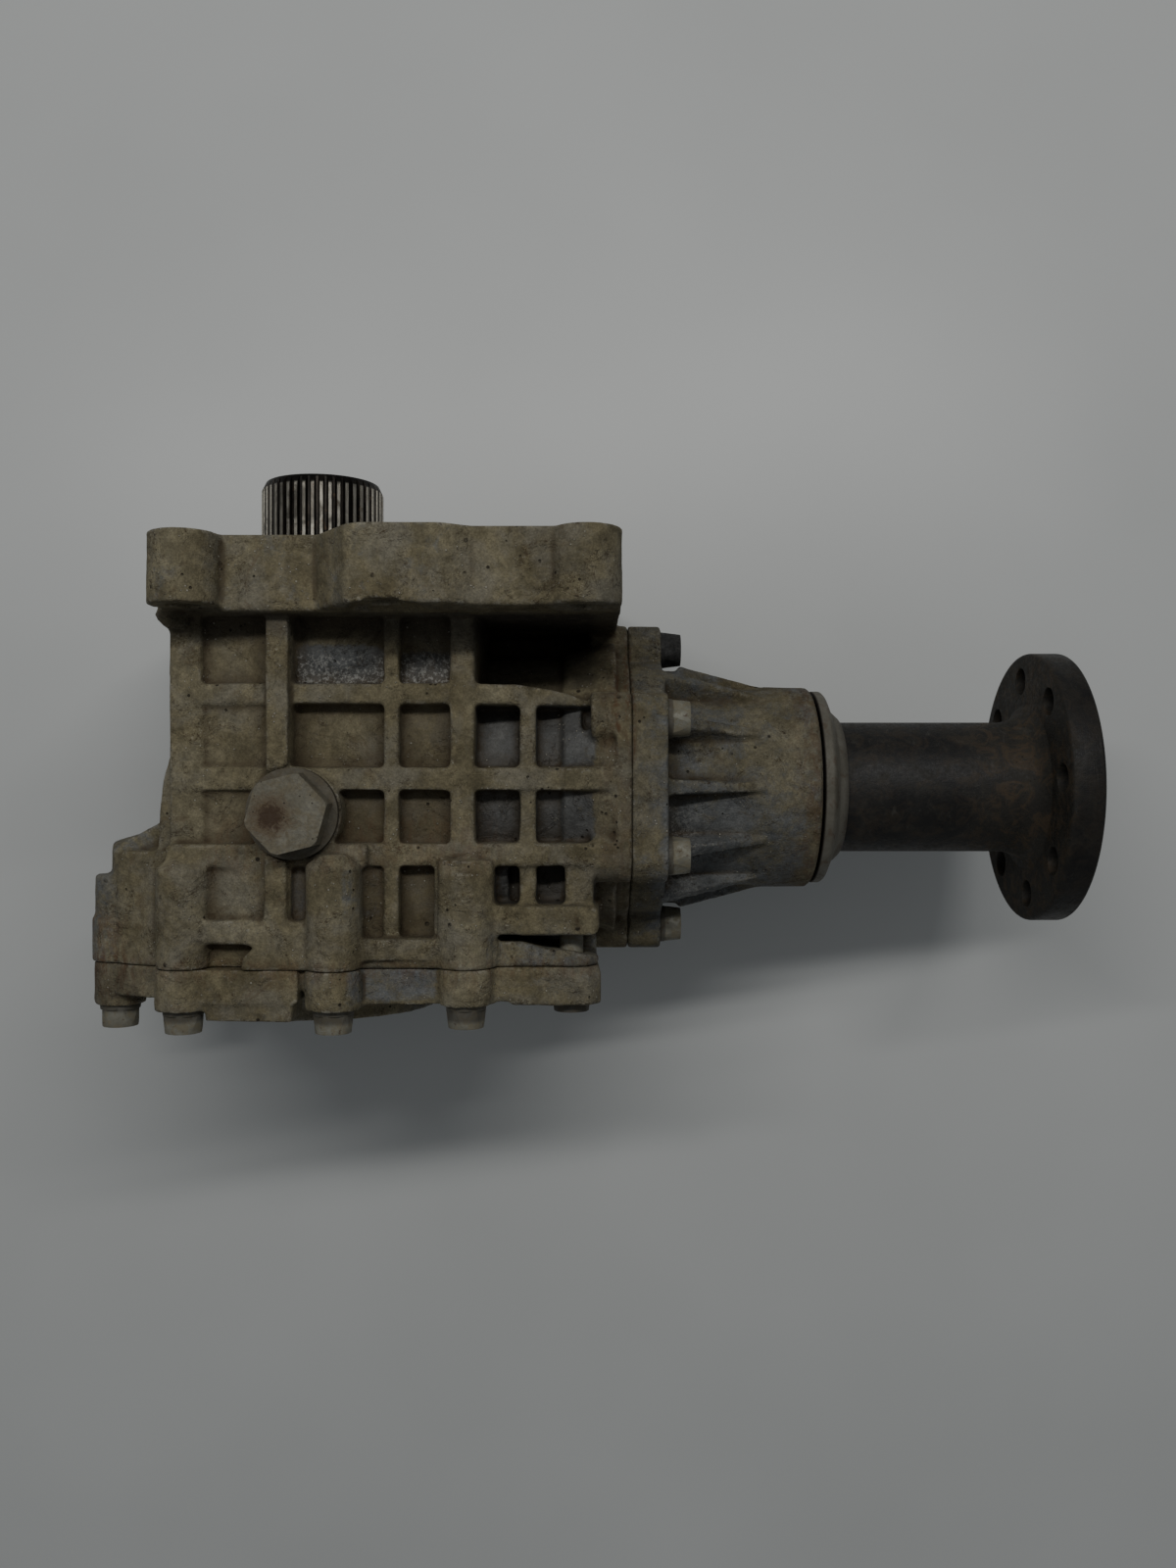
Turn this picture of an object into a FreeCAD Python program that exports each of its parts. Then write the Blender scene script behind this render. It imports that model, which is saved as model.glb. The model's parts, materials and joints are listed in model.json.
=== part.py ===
import FreeCAD, Part
import Sketcher
import math
import os
import re

# Angle gearbox of a drive line (a power transfer unit): a hollow splined
# input shaft along Y carries a hypoid crown wheel, which drives a pinion
# whose shaft runs along X and ends in a long tubular companion flange.
# Millimetres.  Origin: on the input axis, at the height of the output axis.
# +X: output shaft direction.  +Y: towards the mounting face and the spline.
# +Z: the ribbed side with the filler plug.

V = FreeCAD.Vector
doc = FreeCAD.newDocument("angle_gearbox")
sheet = doc.addObject("Spreadsheet::Sheet", "Params")
KNOWN = {}
ROW = [0]


def dim(name, value):
    """One row of the sheet: a name and its number."""
    if name in KNOWN:
        raise ValueError("size given twice: " + name)
    ROW[0] += 1
    sheet.set("A%d" % ROW[0], name)
    sheet.set("B%d" % ROW[0], "%.6g" % value)
    sheet.setAlias("B%d" % ROW[0], name)
    KNOWN[name] = float("%.6g" % value)
    return name


TERM = re.compile(r"([+-]?)\s*([A-Za-z_]\w*|\d+(?:\.\d+)?)")


def val(text):
    """Number of a sum or difference of sheet names."""
    if not isinstance(text, str):
        return float(text)
    total = 0.0
    for sign, word in TERM.findall(text):
        v = KNOWN[word] if word in KNOWN else float(word)
        total += -v if sign == "-" else v
    return total


def ex(name, v):
    """Expression for a size: a number gets a row of its own."""
    if isinstance(v, str):
        return "(" + TERM.sub(lambda m: m.group(1) + ("Params." + m.group(2) if m.group(2) in KNOWN
                                                      else m.group(2)), v) + ")"
    dim(name, v)
    return "Params." + name


# ------------------------------------------------------- driving dimensions
for key, number in (
        ("axis_offset", 15.0),        # hypoid offset of the output axis
        ("ring_teeth", 37), ("pinion_teeth", 15),
        ("ring_mean_rad", 56.0), ("ring_inner_rad", 48.0), ("ring_outer_rad", 66.0),
        ("pitch_depth", 27.3), ("pitch_slope", 0.46), ("spiral_angle", 26.0),
        ("ring_add", 1.6), ("ring_ded", 3.4), ("flank_angle", 20.0), ("mesh_gap", 0.55),
        ("ring_bolt_circle", 52.0), ("ring_bolt_count", 10),
        ("mating_face", 82.0), ("slab_low", 57.0), ("rest_level", -78.0),
        ("part_plane", -60.0), ("chamber_rad", 69.0), ("chamber_outer", 76.8),
        ("hub_rad", 50.0), ("seal_bore", 33.0), ("spline_teeth", 45),
        ("bore_rad", 17.0), ("shaft_top", 116.7), ("shaft_low", -85.0),
        ("seam_x", 118.0), ("adapter_bolt_circle", 51.5),
        ("adapter_end", 185.5), ("disc_start", 267.4), ("disc_end", 279.0),
        ("flange_rad", 50.0), ("flange_holes", 8), ("flange_pcd", 80.0),
        ("flange_hole_rad", 5.0), ("tube_rad", 24.25), ("tube_start", 168.5),
        ("mount_hole_rad", 5.4), ("case_bolt_rad", 4.0), ("bolt_hole_rad", 4.1),
        ("roller_gap", 0.15)):
    dim(key, number)

ROT = {"Z": FreeCAD.Rotation(0, 0, 0, 1),
       "Y": FreeCAD.Rotation(V(1, 0, 0), -90),
       "X": FreeCAD.Rotation(V(0, 1, 0), 90)}
PLACE = {"X": ("y", "z", "x"), "Y": ("x", "z", "y"), "Z": ("x", "y", "z")}


# ----------------------------------------------------------- shape helpers
def box(name, x0, x1, y0, y1, z0, z1):
    o = doc.addObject("Part::Box", name)
    e = [ex("%s_%s" % (name, k), v) for k, v in
         zip(("xa", "xb", "ya", "yb", "za", "zb"), (x0, x1, y0, y1, z0, z1))]
    o.setExpression("Length", "%s - %s" % (e[1], e[0]))
    o.setExpression("Width", "%s - %s" % (e[3], e[2]))
    o.setExpression("Height", "%s - %s" % (e[5], e[4]))
    for k, i in (("x", 0), ("y", 2), ("z", 4)):
        o.setExpression(".Placement.Base." + k, e[i])
    return o


def cyl(name, axis, c1, c2, rad, lo, hi, rad2=None):
    """Cylinder, or cone frustum when rad2 is given, along one axis."""
    o = doc.addObject("Part::Cone" if rad2 is not None else "Part::Cylinder", name)
    o.Placement = FreeCAD.Placement(V(), ROT[axis])
    e = [ex("%s_%s" % (name, k), v) for k, v in
         zip(("ca", "cb", "rad", "lo", "hi"), (c1, c2, rad, lo, hi))]
    if rad2 is None:
        o.setExpression("Radius", e[2])
    else:
        o.setExpression("Radius1", e[2])
        o.setExpression("Radius2", ex(name + "_radb", rad2))
    o.setExpression("Height", "%s - %s" % (e[4], e[3]))
    a, b, c = PLACE[axis]
    o.setExpression(".Placement.Base." + a, e[0])
    o.setExpression(".Placement.Base." + b, e[1])
    o.setExpression(".Placement.Base." + c, e[3])
    return o


def outline(sk, name, pts):
    """Closed polygon whose corners are tied to the sheet."""
    num = [(val(a), val(b)) for a, b in pts]
    n = len(num)
    for i in range(n):
        a, b = num[i], num[(i + 1) % n]
        sk.addGeometry(Part.LineSegment(V(a[0], a[1], 0), V(b[0], b[1], 0)), False)
    for i in range(n):
        sk.addConstraint(Sketcher.Constraint("Coincident", i, 2, (i + 1) % n, 1))
    for i, (a, b) in enumerate(pts):
        for v, kind, tag, axis in ((a, "DistanceX", "u", -2), (b, "DistanceY", "w", -1)):
            x = val(v)
            if abs(x) < 1e-9:
                sk.addConstraint(Sketcher.Constraint("PointOnObject", i, 1, axis))
                continue
            if x > 0:
                c = sk.addConstraint(Sketcher.Constraint(kind, -1, 1, i, 1, x))
                sk.setExpression("Constraints[%d]" % c, ex("%s_%s%d_" % (name, tag, i), v))
            else:
                c = sk.addConstraint(Sketcher.Constraint(kind, i, 1, -1, 1, -x))
                sk.setExpression("Constraints[%d]" % c, "-" + ex("%s_%s%d_" % (name, tag, i), v))


def prism(name, axis, pts, lo, hi):
    """Polygon drawn across one axis and pulled from lo to hi along it."""
    sk = doc.addObject("Sketcher::SketchObject", name + "_sketch")
    rot = {"Z": FreeCAD.Rotation(0, 0, 0, 1), "Y": FreeCAD.Rotation(V(1, 0, 0), 90),
           "X": FreeCAD.Rotation(0.5, 0.5, 0.5, 0.5)}[axis]
    sk.Placement = FreeCAD.Placement(V(), rot)
    outline(sk, name, pts)
    el, eh = ex(name + "_lo", lo), ex(name + "_hi", hi)
    sk.setExpression(".Placement.Base." + PLACE[axis][2], el)
    o = doc.addObject("Part::Extrusion", name)
    o.Base = sk
    o.DirMode = "Custom"
    o.Dir = {"X": V(1, 0, 0), "Y": V(0, 1, 0), "Z": V(0, 0, 1)}[axis]
    o.Solid = True
    o.setExpression("LengthFwd", "%s - %s" % (eh, el))
    return o


def fuse(name, parts, refine=False):
    o = doc.addObject("Part::MultiFuse", name)
    o.Shapes = parts
    o.Refine = refine
    return o


def cut(name, base, tools, refine=False):
    o = doc.addObject("Part::Cut", name)
    o.Base = base
    o.Tool = tools[0] if len(tools) == 1 else fuse(name + "_tools", tools)
    o.Refine = refine
    return o


def plane(body, role):
    for f in body.Origin.OriginFeatures:
        if f.Role == role:
            return f
    raise ValueError(role)


def turned(name, axis, pts, offset=None):
    """Body of revolution; pts are (along the axis, radius)."""
    body = doc.addObject("PartDesign::Body", name)
    sk = body.newObject("Sketcher::SketchObject", name + "_profile")
    sk.AttachmentSupport = [(plane(body, "XY_Plane"), "")]
    sk.MapMode = "FlatFace"
    outline(sk, name, [(r, a) for a, r in pts] if axis == "Y" else pts)
    rev = body.newObject("PartDesign::Revolution", name + "_turned")
    rev.Profile = sk
    rev.ReferenceAxis = (sk, ["V_Axis" if axis == "Y" else "H_Axis"])
    rev.Angle = 360
    body.Tip = rev
    if offset:
        body.setExpression(".Placement.Base.z", ex(name + "_off", offset))
    return body


def solid(name, shape):
    """A piece whose shape is worked out here from the sheet's sizes."""
    o = doc.addObject("Part::Feature", name)
    o.Shape = shape
    o.Placement = FreeCAD.Placement()
    return o


def group(name, template, places):
    """Copies of one piece, each a solid of its own."""
    out = []
    for pl in places:
        s = template.Shape.copy()
        s.Placement = pl.multiply(s.Placement)
        out.append(s)
    return solid(name, Part.Compound(out))


def hexagon(name, axis, c1, c2, flats, lo, hi, turn=0.0):
    """Hexagonal prism across flats, along one axis."""
    o = doc.addObject("Part::Prism", name)
    o.Polygon = 6
    base = ROT[axis].multiply(FreeCAD.Rotation(V(0, 0, 1), turn))
    o.Placement = FreeCAD.Placement(V(), base)
    e = [ex("%s_%s" % (name, k), v) for k, v in
         zip(("ca", "cb", "flats", "lo", "hi"), (c1, c2, flats, lo, hi))]
    o.setExpression("Circumradius", e[2] + " / sqrt(3)")
    o.setExpression("Height", "%s - %s" % (e[4], e[3]))
    a, b, c = PLACE[axis]
    o.setExpression(".Placement.Base." + a, e[0])
    o.setExpression(".Placement.Base." + b, e[1])
    o.setExpression(".Placement.Base." + c, e[3])
    return o


NODES = []
LATER = []


def node(obj, label):
    obj.Label = label
    NODES.append((obj, label))
    return obj


def node_later(make, label):
    """A piece copied or trimmed from other pieces, once those are worked out."""
    LATER.append((len(NODES), make))
    NODES.append((None, label))


# ================================================================ the case
# Mounting slab across the top, with six bolt bosses.
MOUNTS = [("ma", -27.4, 85.0, 11.4), ("mb", 39.1, 93.0, 11.6), ("mc", 102.6, 93.0, 11.4),
          ("md", 98.0, -66.0, 12.0), ("me", 28.0, -66.0, 12.0), ("mf", -44.0, -43.0, 11.4)]
for tag, x, z, r in MOUNTS:
    dim(tag + "_px", x)
    dim(tag + "_pz", z)
    dim(tag + "_pr", r)
add = [prism("slab", "Y", [(-38.9, 76.0), (-31.0, 84.0), (15.0, 84.0), (20.5, 92.0), (27.5, 102.0),
                           (32.0, 104.0), (58.0, 104.0), (67.0, 98.2), (94.0, 98.2), (104.0, 103.5),
                           (113.9, 93.0), (113.4, 10.0), (110.0, -66.0), (98.0, -72.0),
                           (28.0, -72.0), (20.0, -74.0), (-50.0, -52.0), (-55.4, -43.0),
                           (-56.0, 5.0), (-49.9, 27.0), (-45.0, 53.0)], "slab_low", "mating_face")]
for tag, x, z, r in MOUNTS:
    add.append(cyl("boss_" + tag, "Y", tag + "_px", tag + "_pz", tag + "_pr", "slab_low", "mating_face"))

# Central hub about the input axis, conical shoulder and crown wheel chamber.
add += [cyl("hub", "Y", 0, 0, "hub_rad", -25.0, "slab_low+1"),
        cyl("shoulder", "Y", 0, 0, "chamber_outer", -20.7, -13.0, 53.0),
        cyl("chamber_wall", "Y", 0, 0, "chamber_outer", "part_plane", -20.7)]

# Ribbed front block.
add += [box("block", -35.5, 65.3, "part_plane", "slab_low", -30.0, 65.0),
        box("margin_left", -36.5, -25.8, -44.0, "slab_low", 30.0, 71.5),
        box("pad_a", -36.0, -3.0, 34.0, "slab_low", 60.0, 68.0),
        box("pad_b", -36.0, -3.0, 6.0, 28.0, 60.0, 70.4),
        box("pad_c", -36.0, 10.0, -20.0, 0.0, 60.0, 70.2),
        box("pad_d", -36.5, -3.0, -52.0, -20.0, 50.0, 73.6),
        box("rib_va", -3.0, 4.4, 4.0, "slab_low", 60.0, 77.5),
        box("rib_vb", 34.9, 40.1, -50.0, "slab_low", 55.0, 72.0),
        box("rib_vc", 57.1, 65.3, -45.0, "slab_low", 50.0, 72.5),
        box("rib_ha", -36.0, 65.3, 27.8, 34.7, 55.0, 72.0),
        box("rib_hb", -36.0, 65.3, -0.9, 6.6, 55.0, 72.3),
        box("rib_hc", -36.5, 30.0, -26.3, -18.8, 55.0, 76.3),
        box("rib_hcr", 29.0, 65.3, -26.3, -18.8, 50.0, 72.4),
        box("rib_vd", -3.0, 4.4, -46.0, -22.0, 60.0, 79.6),
        prism("edge_left", "Z", [(-36.5, 57.0), (-36.5, 20.0), (-37.6, 12.0), (-40.2, 2.0), (-41.5, -8.5),
                                 (-43.0, -11.8), (-57.6, -19.4), (-58.6, -22.0), (-30.0, -22.0), (-30.0, 57.0)],
              28.0, 60.0),
        prism("corner_left", "Y", [(-30.0, 28.0), (-71.4, 28.0), (-63.5, 49.5), (-60.2, 58.4), (-58.6, 61.2),
                                   (-55.6, 64.2), (-51.0, 66.8), (-44.0, 69.4), (-36.0, 71.0), (-30.0, 71.0)],
              "part_plane", -21.5),
        prism("edge_front", "Z", [(-36.5, 57.0), (-36.5, 20.0), (-37.6, 12.0), (-40.2, 2.0), (-41.5, -8.5),
                                  (-42.0, -21.0), (-30.0, -21.0), (-30.0, 57.0)], 50.0, 67.0),
        prism("knee_left", "Z", [(-37.0, 57.5), (-40.5, 57.5), (-39.0, 55.0), (-36.4, 52.6), (-30.0, 52.6),
                                 (-30.0, 57.5)], 40.0, 76.0)]

# Heavy rib above the parting plane, with the lands below it.
add += [prism("rib_hd", "Y", [(-41.0, 60.0), (-41.0, 72.5), (-38.0, 76.0), (-20.0, 78.2), (24.0, 78.8),
                              (27.5, 78.4), (28.5, 76.0), (28.5, 60.0)], -51.7, -43.9),
        prism("rib_hd_right", "Y", [(26.0, 55.0), (26.0, 78.4), (50.0, 76.5), (70.0, 75.0), (72.0, 73.0),
                                    (72.0, 55.0)], -57.0, -50.2),
        prism("land_a", "Z", [(-8.5, -46.0), (-10.5, -52.0), (-10.5, -60.0), (12.0, -60.0), (12.0, -46.0)],
              65.0, 80.2),
        prism("land_b", "Z", [(24.0, -52.0), (24.0, -60.0), (56.0, -60.0), (56.0, -52.0)], 50.0, 75.2),
        prism("land_c", "Z", [(52.0, -26.0), (52.0, -60.0), (73.0, -60.0), (73.0, -46.0), (71.0, -30.0),
                              (65.3, -22.0)], 40.0, 74.0)]

# Bolt bosses along the parting plane: (x, z, radius, top of the boss).
CASE_BOLTS = [("ba", -59.4, 53.0, 8.3, -30.0), ("bb", -31.3, 72.6, 9.0, -27.0),
              ("bc", 19.3, 76.6, 9.0, -26.0), ("bd", 62.6, 72.5, 8.8, -28.0),
              ("be", 97.5, 63.0, 9.0, -49.0), ("bf", 92.0, 8.0, 8.5, -46.0),
              ("bg", 76.0, -35.0, 8.5, -40.0), ("bh", 44.5, -66.0, 8.8, -30.0),
              ("bi", -46.0, -65.0, 8.8, -30.0), ("bj", -77.5, -14.0, 8.5, -36.0)]
for tag, x, z, r, top in CASE_BOLTS:
    dim(tag + "_px", x)
    dim(tag + "_pz", z)
    dim(tag + "_pr", r)
    dim(tag + "_top", top)
    add.append(cyl("boss_" + tag, "Y", tag + "_px", tag + "_pz", tag + "_pr", "part_plane", tag + "_top"))
    if z > 50 and x > -50 and x < 90:
        add.append(box("fill_" + tag, tag + "_px-" + tag + "_pr", tag + "_px+" + tag + "_pr",
                       "part_plane", tag + "_top-1.5", 55.0, tag + "_pz"))
add.append(prism("band_bd", "Y", [(53.6, 60.0), (53.6, 76.5), (55.6, 78.6), (69.6, 78.0), (71.6, 76.0),
                                  (71.6, 60.0)], "part_plane", -24.0))
add += [cyl("step_ba", "Y", "ba_px", "ba_pz", 9.2, "part_plane", -45.0),
        cyl("tip_bb", "Y", "bb_px", "bb_pz", "bb_pr", "bb_top", -23.5, 5.0),
        cyl("tip_bc", "Y", "bc_px", "bc_pz", "bc_pr", "bc_top", -22.0, 5.5),
        prism("web_bi", "Y", [(-50.0, -70.0), (-40.0, -68.0), (-30.0, -50.0), (-50.0, -45.0)], "part_plane", -34.0),
        prism("web_bh", "Y", [(50.0, -71.0), (40.0, -69.0), (35.0, -50.0), (55.0, -45.0)], "part_plane", -34.0)]

# Rounded barrel about the output axis, with its ribs.
add += [cyl("barrel", "X", 0, "axis_offset", 48.5, 40.0, "seam_x"),
        prism("rib_right_b", "Y", [(62.0, 40.0), (62.0, 72.0), (92.0, 71.0), (112.0, 70.0), (118.0, 70.0),
                                   (118.0, 40.0)], -0.9, 6.6),
        prism("rib_right_c", "Y", [(62.0, 30.0), (62.0, 72.0), (90.0, 71.5), (112.0, 70.0), (118.0, 70.0),
                                   (118.0, 30.0)], -26.3, -18.8),
        prism("rib_vert", "X", [(-39.3, 20.0), (-39.3, 70.0), (27.8, 69.5), (27.8, 30.0)], 80.2, 85.7),
        prism("rib_vert_r", "X", [(-40.0, 20.0), (-40.0, 60.0), (-30.0, 64.0), (-20.0, 64.0), (-20.0, 30.0)],
              69.0, 76.0),
        prism("rib_low_right", "Z", [(71.0, -49.0), (105.0, -49.0), (106.8, -47.2), (106.8, -41.1),
                                     (105.0, -39.3), (71.0, -39.3)], 20.0, 75.0),
        box("floor_low_right", 60.0, 97.0, -42.0, -20.0, 30.0, 57.5),
        box("end_wall", 95.5, 105.0, -41.0, -26.0, 20.0, 69.5)]
taper_plan = prism("taper_plan", "Z", [(64.0, 34.7), (64.0, 27.8), (112.0, 27.0), (104.0, 29.0), (95.0, 32.0),
                                       (80.0, 34.6)], 30.0, 74.0)
taper_side = prism("taper_side", "Y", [(64.0, 35.0), (64.0, 71.5), (80.0, 70.0), (92.0, 67.0), (104.0, 61.5),
                                       (112.0, 56.0), (112.0, 35.0)], 25.0, 36.0)
taper = doc.addObject("Part::Common", "rib_right_a")
taper.Base = taper_plan
taper.Tool = taper_side
add.append(taper)

# Joint face to the pinion housing: flat front between the bolt lugs.
LUGS = [("la", 0.0), ("lb", 63.0), ("lc", 117.0), ("ld", 180.0), ("le", 243.0), ("lf", 297.0)]
for tag, deg in LUGS:
    dim(tag + "_turn", deg)
    a = math.radians(deg)
    r = KNOWN["adapter_bolt_circle"]
    dim(tag + "_py", r * math.cos(a))
    dim(tag + "_pz", KNOWN["axis_offset"] + r * math.sin(a))
    add.append(cyl("case_lug_" + tag, "X", tag + "_py", tag + "_pz", 9.0, 104.0, "seam_x"))
add += [prism("front_face", "X", [(-32.0, 30.0), (-32.0, 61.0), (-30.0, 66.5), (-24.0, 69.8), (24.0, 69.8),
                                  (30.0, 66.5), (32.0, 61.0), (32.0, 30.0)], 112.5, "seam_x"),
        prism("back_face", "X", [(-32.0, 0.0), (-32.0, -31.0), (-24.0, -39.8), (24.0, -39.8), (32.0, -31.0),
                                 (32.0, 0.0)], 112.5, "seam_x"),
        # floors of the right-hand pockets climb to the joint face
        cyl("flare_a", "X", 0, "axis_offset", 50.6, 94.6, 104.0, 52.0),
        cyl("flare_b", "X", 0, "axis_offset", 52.0, 104.0, 113.0, 54.6)]

# Foot of the case to the right of the chamber, on the parting plane.
add += [prism("foot", "Y", [(40.0, 71.0), (60.0, 73.0), (72.0, 71.5), (103.0, 71.0), (106.5, 66.0),
                            (106.0, 50.0), (101.0, 4.0), (84.0, -36.0), (60.0, -46.0), (40.0, -30.0)],
              "part_plane", -51.5),
        box("foot_wall", 66.0, 100.0, -52.0, -38.0, -20.0, 52.0),
        box("foot_rib", 90.0, 105.0, -58.0, -40.0, 30.0, 66.0)]

# Bracket pads on the back, on which the unit lies.
dim("pad_l_px", -30.0)
dim("pad_l_py", -44.0)
dim("pad_r_px", 84.0)
dim("pad_r_py", -45.0)
add += [cyl("pad_left", "Z", "pad_l_px", "pad_l_py", 11.0, "rest_level", -60.0),
        cyl("pad_right", "Z", "pad_r_px", "pad_r_py", 11.5, "rest_level", 0.0),
        box("pad_right_web", 60.0, 84.0, -50.0, -42.0, -70.0, -20.0),
        box("pad_right_wall", 80.0, 88.0, -45.0, -20.0, -72.0, 10.0),
        box("back_rib_a", -4.0, 4.0, -20.0, "slab_low", -64.0, -40.0),
        prism("back_rib_b", "X", [(57.0, -72.0), (50.0, -68.0), (-10.0, -56.0), (-20.0, -60.0), (-20.0, -30.0),
                                  (57.0, -30.0)], 24.0, 32.0),
        prism("back_rib_c", "X", [(57.0, -72.0), (50.0, -70.0), (20.0, -34.0), (0.0, -30.0), (0.0, -20.0),
                                  (57.0, -20.0)], 94.0, 102.0),
        prism("side_web", "Z", [(65.0, 57.0), (65.0, 30.0), (104.0, 30.0), (110.0, 57.0)], -6.0, 4.0),
        cyl("drain_boss", "Z", 48.0, 6.0, 13.0, -41.0, -28.0),
        cyl("filler_boss", "Z", 6.2, -8.6, 15.5, 55.0, 75.6),
        cyl("breather_boss", "X", 30.0, -15.0, 7.5, -52.0, -40.0)]

case_raw = fuse("case_raw", add)

rem = [cyl("input_bore", "Y", 0, 0, 40.0, 40.0, 68.0),
       cyl("seal_bore_cut", "Y", 0, 0, "seal_bore", 60.0, "mating_face+1"),
       cyl("shaft_room", "Y", 0, 0, 41.0, -22.0, 49.0),
       cyl("chamber", "Y", 0, 0, "chamber_rad", "part_plane-1", -20.0),
       cyl("chamber_cone", "Y", 0, 0, "chamber_rad", -20.1, -14.0, 50.0),
       box("gear_room", -29.5, 60.0, -25.0, 46.0, -24.0, 59.0),
       cyl("pinion_room", "X", 0, "axis_offset", 39.0, 30.0, 69.0),
       cyl("spigot_bore", "X", 0, "axis_offset", 43.0, 68.0, "seam_x+1"),
       cyl("filler_hole", "Z", 6.2, -8.6, 9.1, 50.0, 80.0),
       cyl("filler_seat", "Z", 6.2, -8.6, 15.7, 75.6, 95.0),
       cyl("drain_hole", "Z", 48.0, 6.0, 7.1, -45.0, -20.0),
       cyl("breather_hole", "X", 30.0, -15.0, 3.0, -60.0, -35.0),
       cyl("face_groove", "Y", 0, 0, 36.5, 79.5, "mating_face+1"),
       # arch below the heavy rib, and the recesses beside it
       prism("arch", "Z", [(-22.3, -51.7), (-4.0, -51.7), (-7.4, -53.4), (-9.6, -55.6), (-10.4, -58.0),
                           (-10.4, -61.0), (-22.3, -61.0)], 72.6, 90.0),
       prism("recess_low", "Z", [(75.5, -49.0), (76.5, -50.2), (88.0, -53.8), (97.0, -54.6), (107.0, -57.0),
                                 (108.0, -49.0)], 52.0, 90.0),
       box("recess_low_b", 74.0, 96.0, -51.0, -49.0, 40.0, 90.0),
       box("pocket_low_a", 5.2, 10.4, -43.9, -26.3, 73.6, 90.0),
       # pockets cast into the mating face
       prism("core_a", "Y", [(48.0, 88.0), (48.0, 30.0), (56.0, 18.0), (104.0, 18.0), (104.0, 78.0),
                             (92.0, 80.0), (86.0, 90.0)], 68.0, "mating_face+1"),
       prism("core_b", "Y", [(56.0, 10.0), (49.0, -14.0), (45.0, -48.0), (84.0, -50.0), (102.0, -46.0),
                             (104.0, 10.0)], 68.0, "mating_face+1"),
       prism("core_c", "Y", [(-14.0, 76.0), (-24.0, 66.0), (-30.0, 47.0), (0.0, 52.0), (25.0, 50.0),
                             (24.0, 76.0)], 68.0, "mating_face+1"),
       prism("core_d", "Y", [(-28.0, -52.0), (14.0, -64.0), (14.0, -54.0), (-20.0, -47.0)], 68.0,
             "mating_face+1")]
for tag, x, z, r in MOUNTS:
    rem.append(cyl("mount_hole_" + tag, "Y", tag + "_px", tag + "_pz", "mount_hole_rad", 50.0, "mating_face+1"))
    if tag in ("ma", "mb", "md", "me", "mf"):
        rem.append(cyl("spot_" + tag, "Y", tag + "_px", tag + "_pz", tag + "_pr+0.4", 50.0, 58.5))
for tag, x, z, r, top in CASE_BOLTS:
    rem.append(cyl("bolt_hole_" + tag, "Y", tag + "_px", tag + "_pz", "bolt_hole_rad", "part_plane-1",
                   "part_plane+18.5"))
for tag, deg in LUGS:
    rem.append(cyl("lug_hole_" + tag, "X", tag + "_py", tag + "_pz", "bolt_hole_rad", "seam_x-17", "seam_x+1"))
for tag, ref in (("pl", "pad_l"), ("pr", "pad_r")):
    rem.append(cyl("pad_hole_" + tag, "Z", ref + "_px", ref + "_py", 4.3, -79.0, -62.0))
DOWELS = [("da", 0.0, -73.4), ("db", 70.6, 20.0)]
for tag, x, z in DOWELS:
    dim(tag + "_px", x)
    dim(tag + "_pz", z)
    rem.append(cyl("dowel_hole_" + tag, "Y", tag + "_px", tag + "_pz", 2.25, "part_plane-1", "part_plane+6"))
case = node(cut("case", case_raw, rem), "transfer_case")

# ============================================================== side cover
cov = [cyl("cover_plate", "Y", 0, 0, 77.2, -67.0, "part_plane"),
       prism("cover_foot", "Y", [(40.0, 72.0), (60.0, 74.0), (72.0, 72.5), (103.0, 72.0), (107.0, 67.0),
                                 (106.5, 50.0), (101.5, 4.0), (84.5, -36.5), (60.0, -47.0), (40.0, -30.0)],
             -66.0, "part_plane"),
       cyl("cover_cone", "Y", 0, 0, 47.0, -78.0, -66.0, 62.0),
       cyl("cover_hub", "Y", 0, 0, 45.5, -83.0, -60.0),
       prism("cover_lip_a", "Y", [(-36.0, 60.0), (-36.0, 74.0), (-24.0, 78.5), (8.0, 79.6), (8.0, 60.0)],
             -71.0, "part_plane"),
       prism("cover_corner", "Y", [(-30.0, 28.0), (-71.4, 28.0), (-63.5, 49.5), (-60.2, 58.4), (-58.6, 61.2),
                                   (-55.6, 64.2), (-51.0, 66.8), (-44.0, 69.4), (-36.0, 71.0), (-30.0, 71.0)],
             -70.5, "part_plane"),
       prism("cover_lip_b", "Y", [(-23.0, 62.0), (-23.0, 77.6), (6.0, 79.0), (6.0, 62.0)], -77.0, -66.0),
       prism("cover_lip_c", "Y", [(28.0, 50.0), (28.0, 74.4), (55.0, 73.4), (72.0, 73.0), (72.0, 50.0)],
             -72.0, "part_plane"),
       prism("cover_lip_d", "Y", [(50.0, 58.0), (50.0, 73.5), (78.0, 72.6), (78.0, 58.0)], -71.5, -62.0),
       prism("cover_lip_e", "Y", [(78.0, 58.0), (78.0, 72.6), (90.0, 73.6), (103.5, 73.6), (107.5, 69.0),
                                  (106.6, 54.0)], -72.6, -62.0)]
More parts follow.
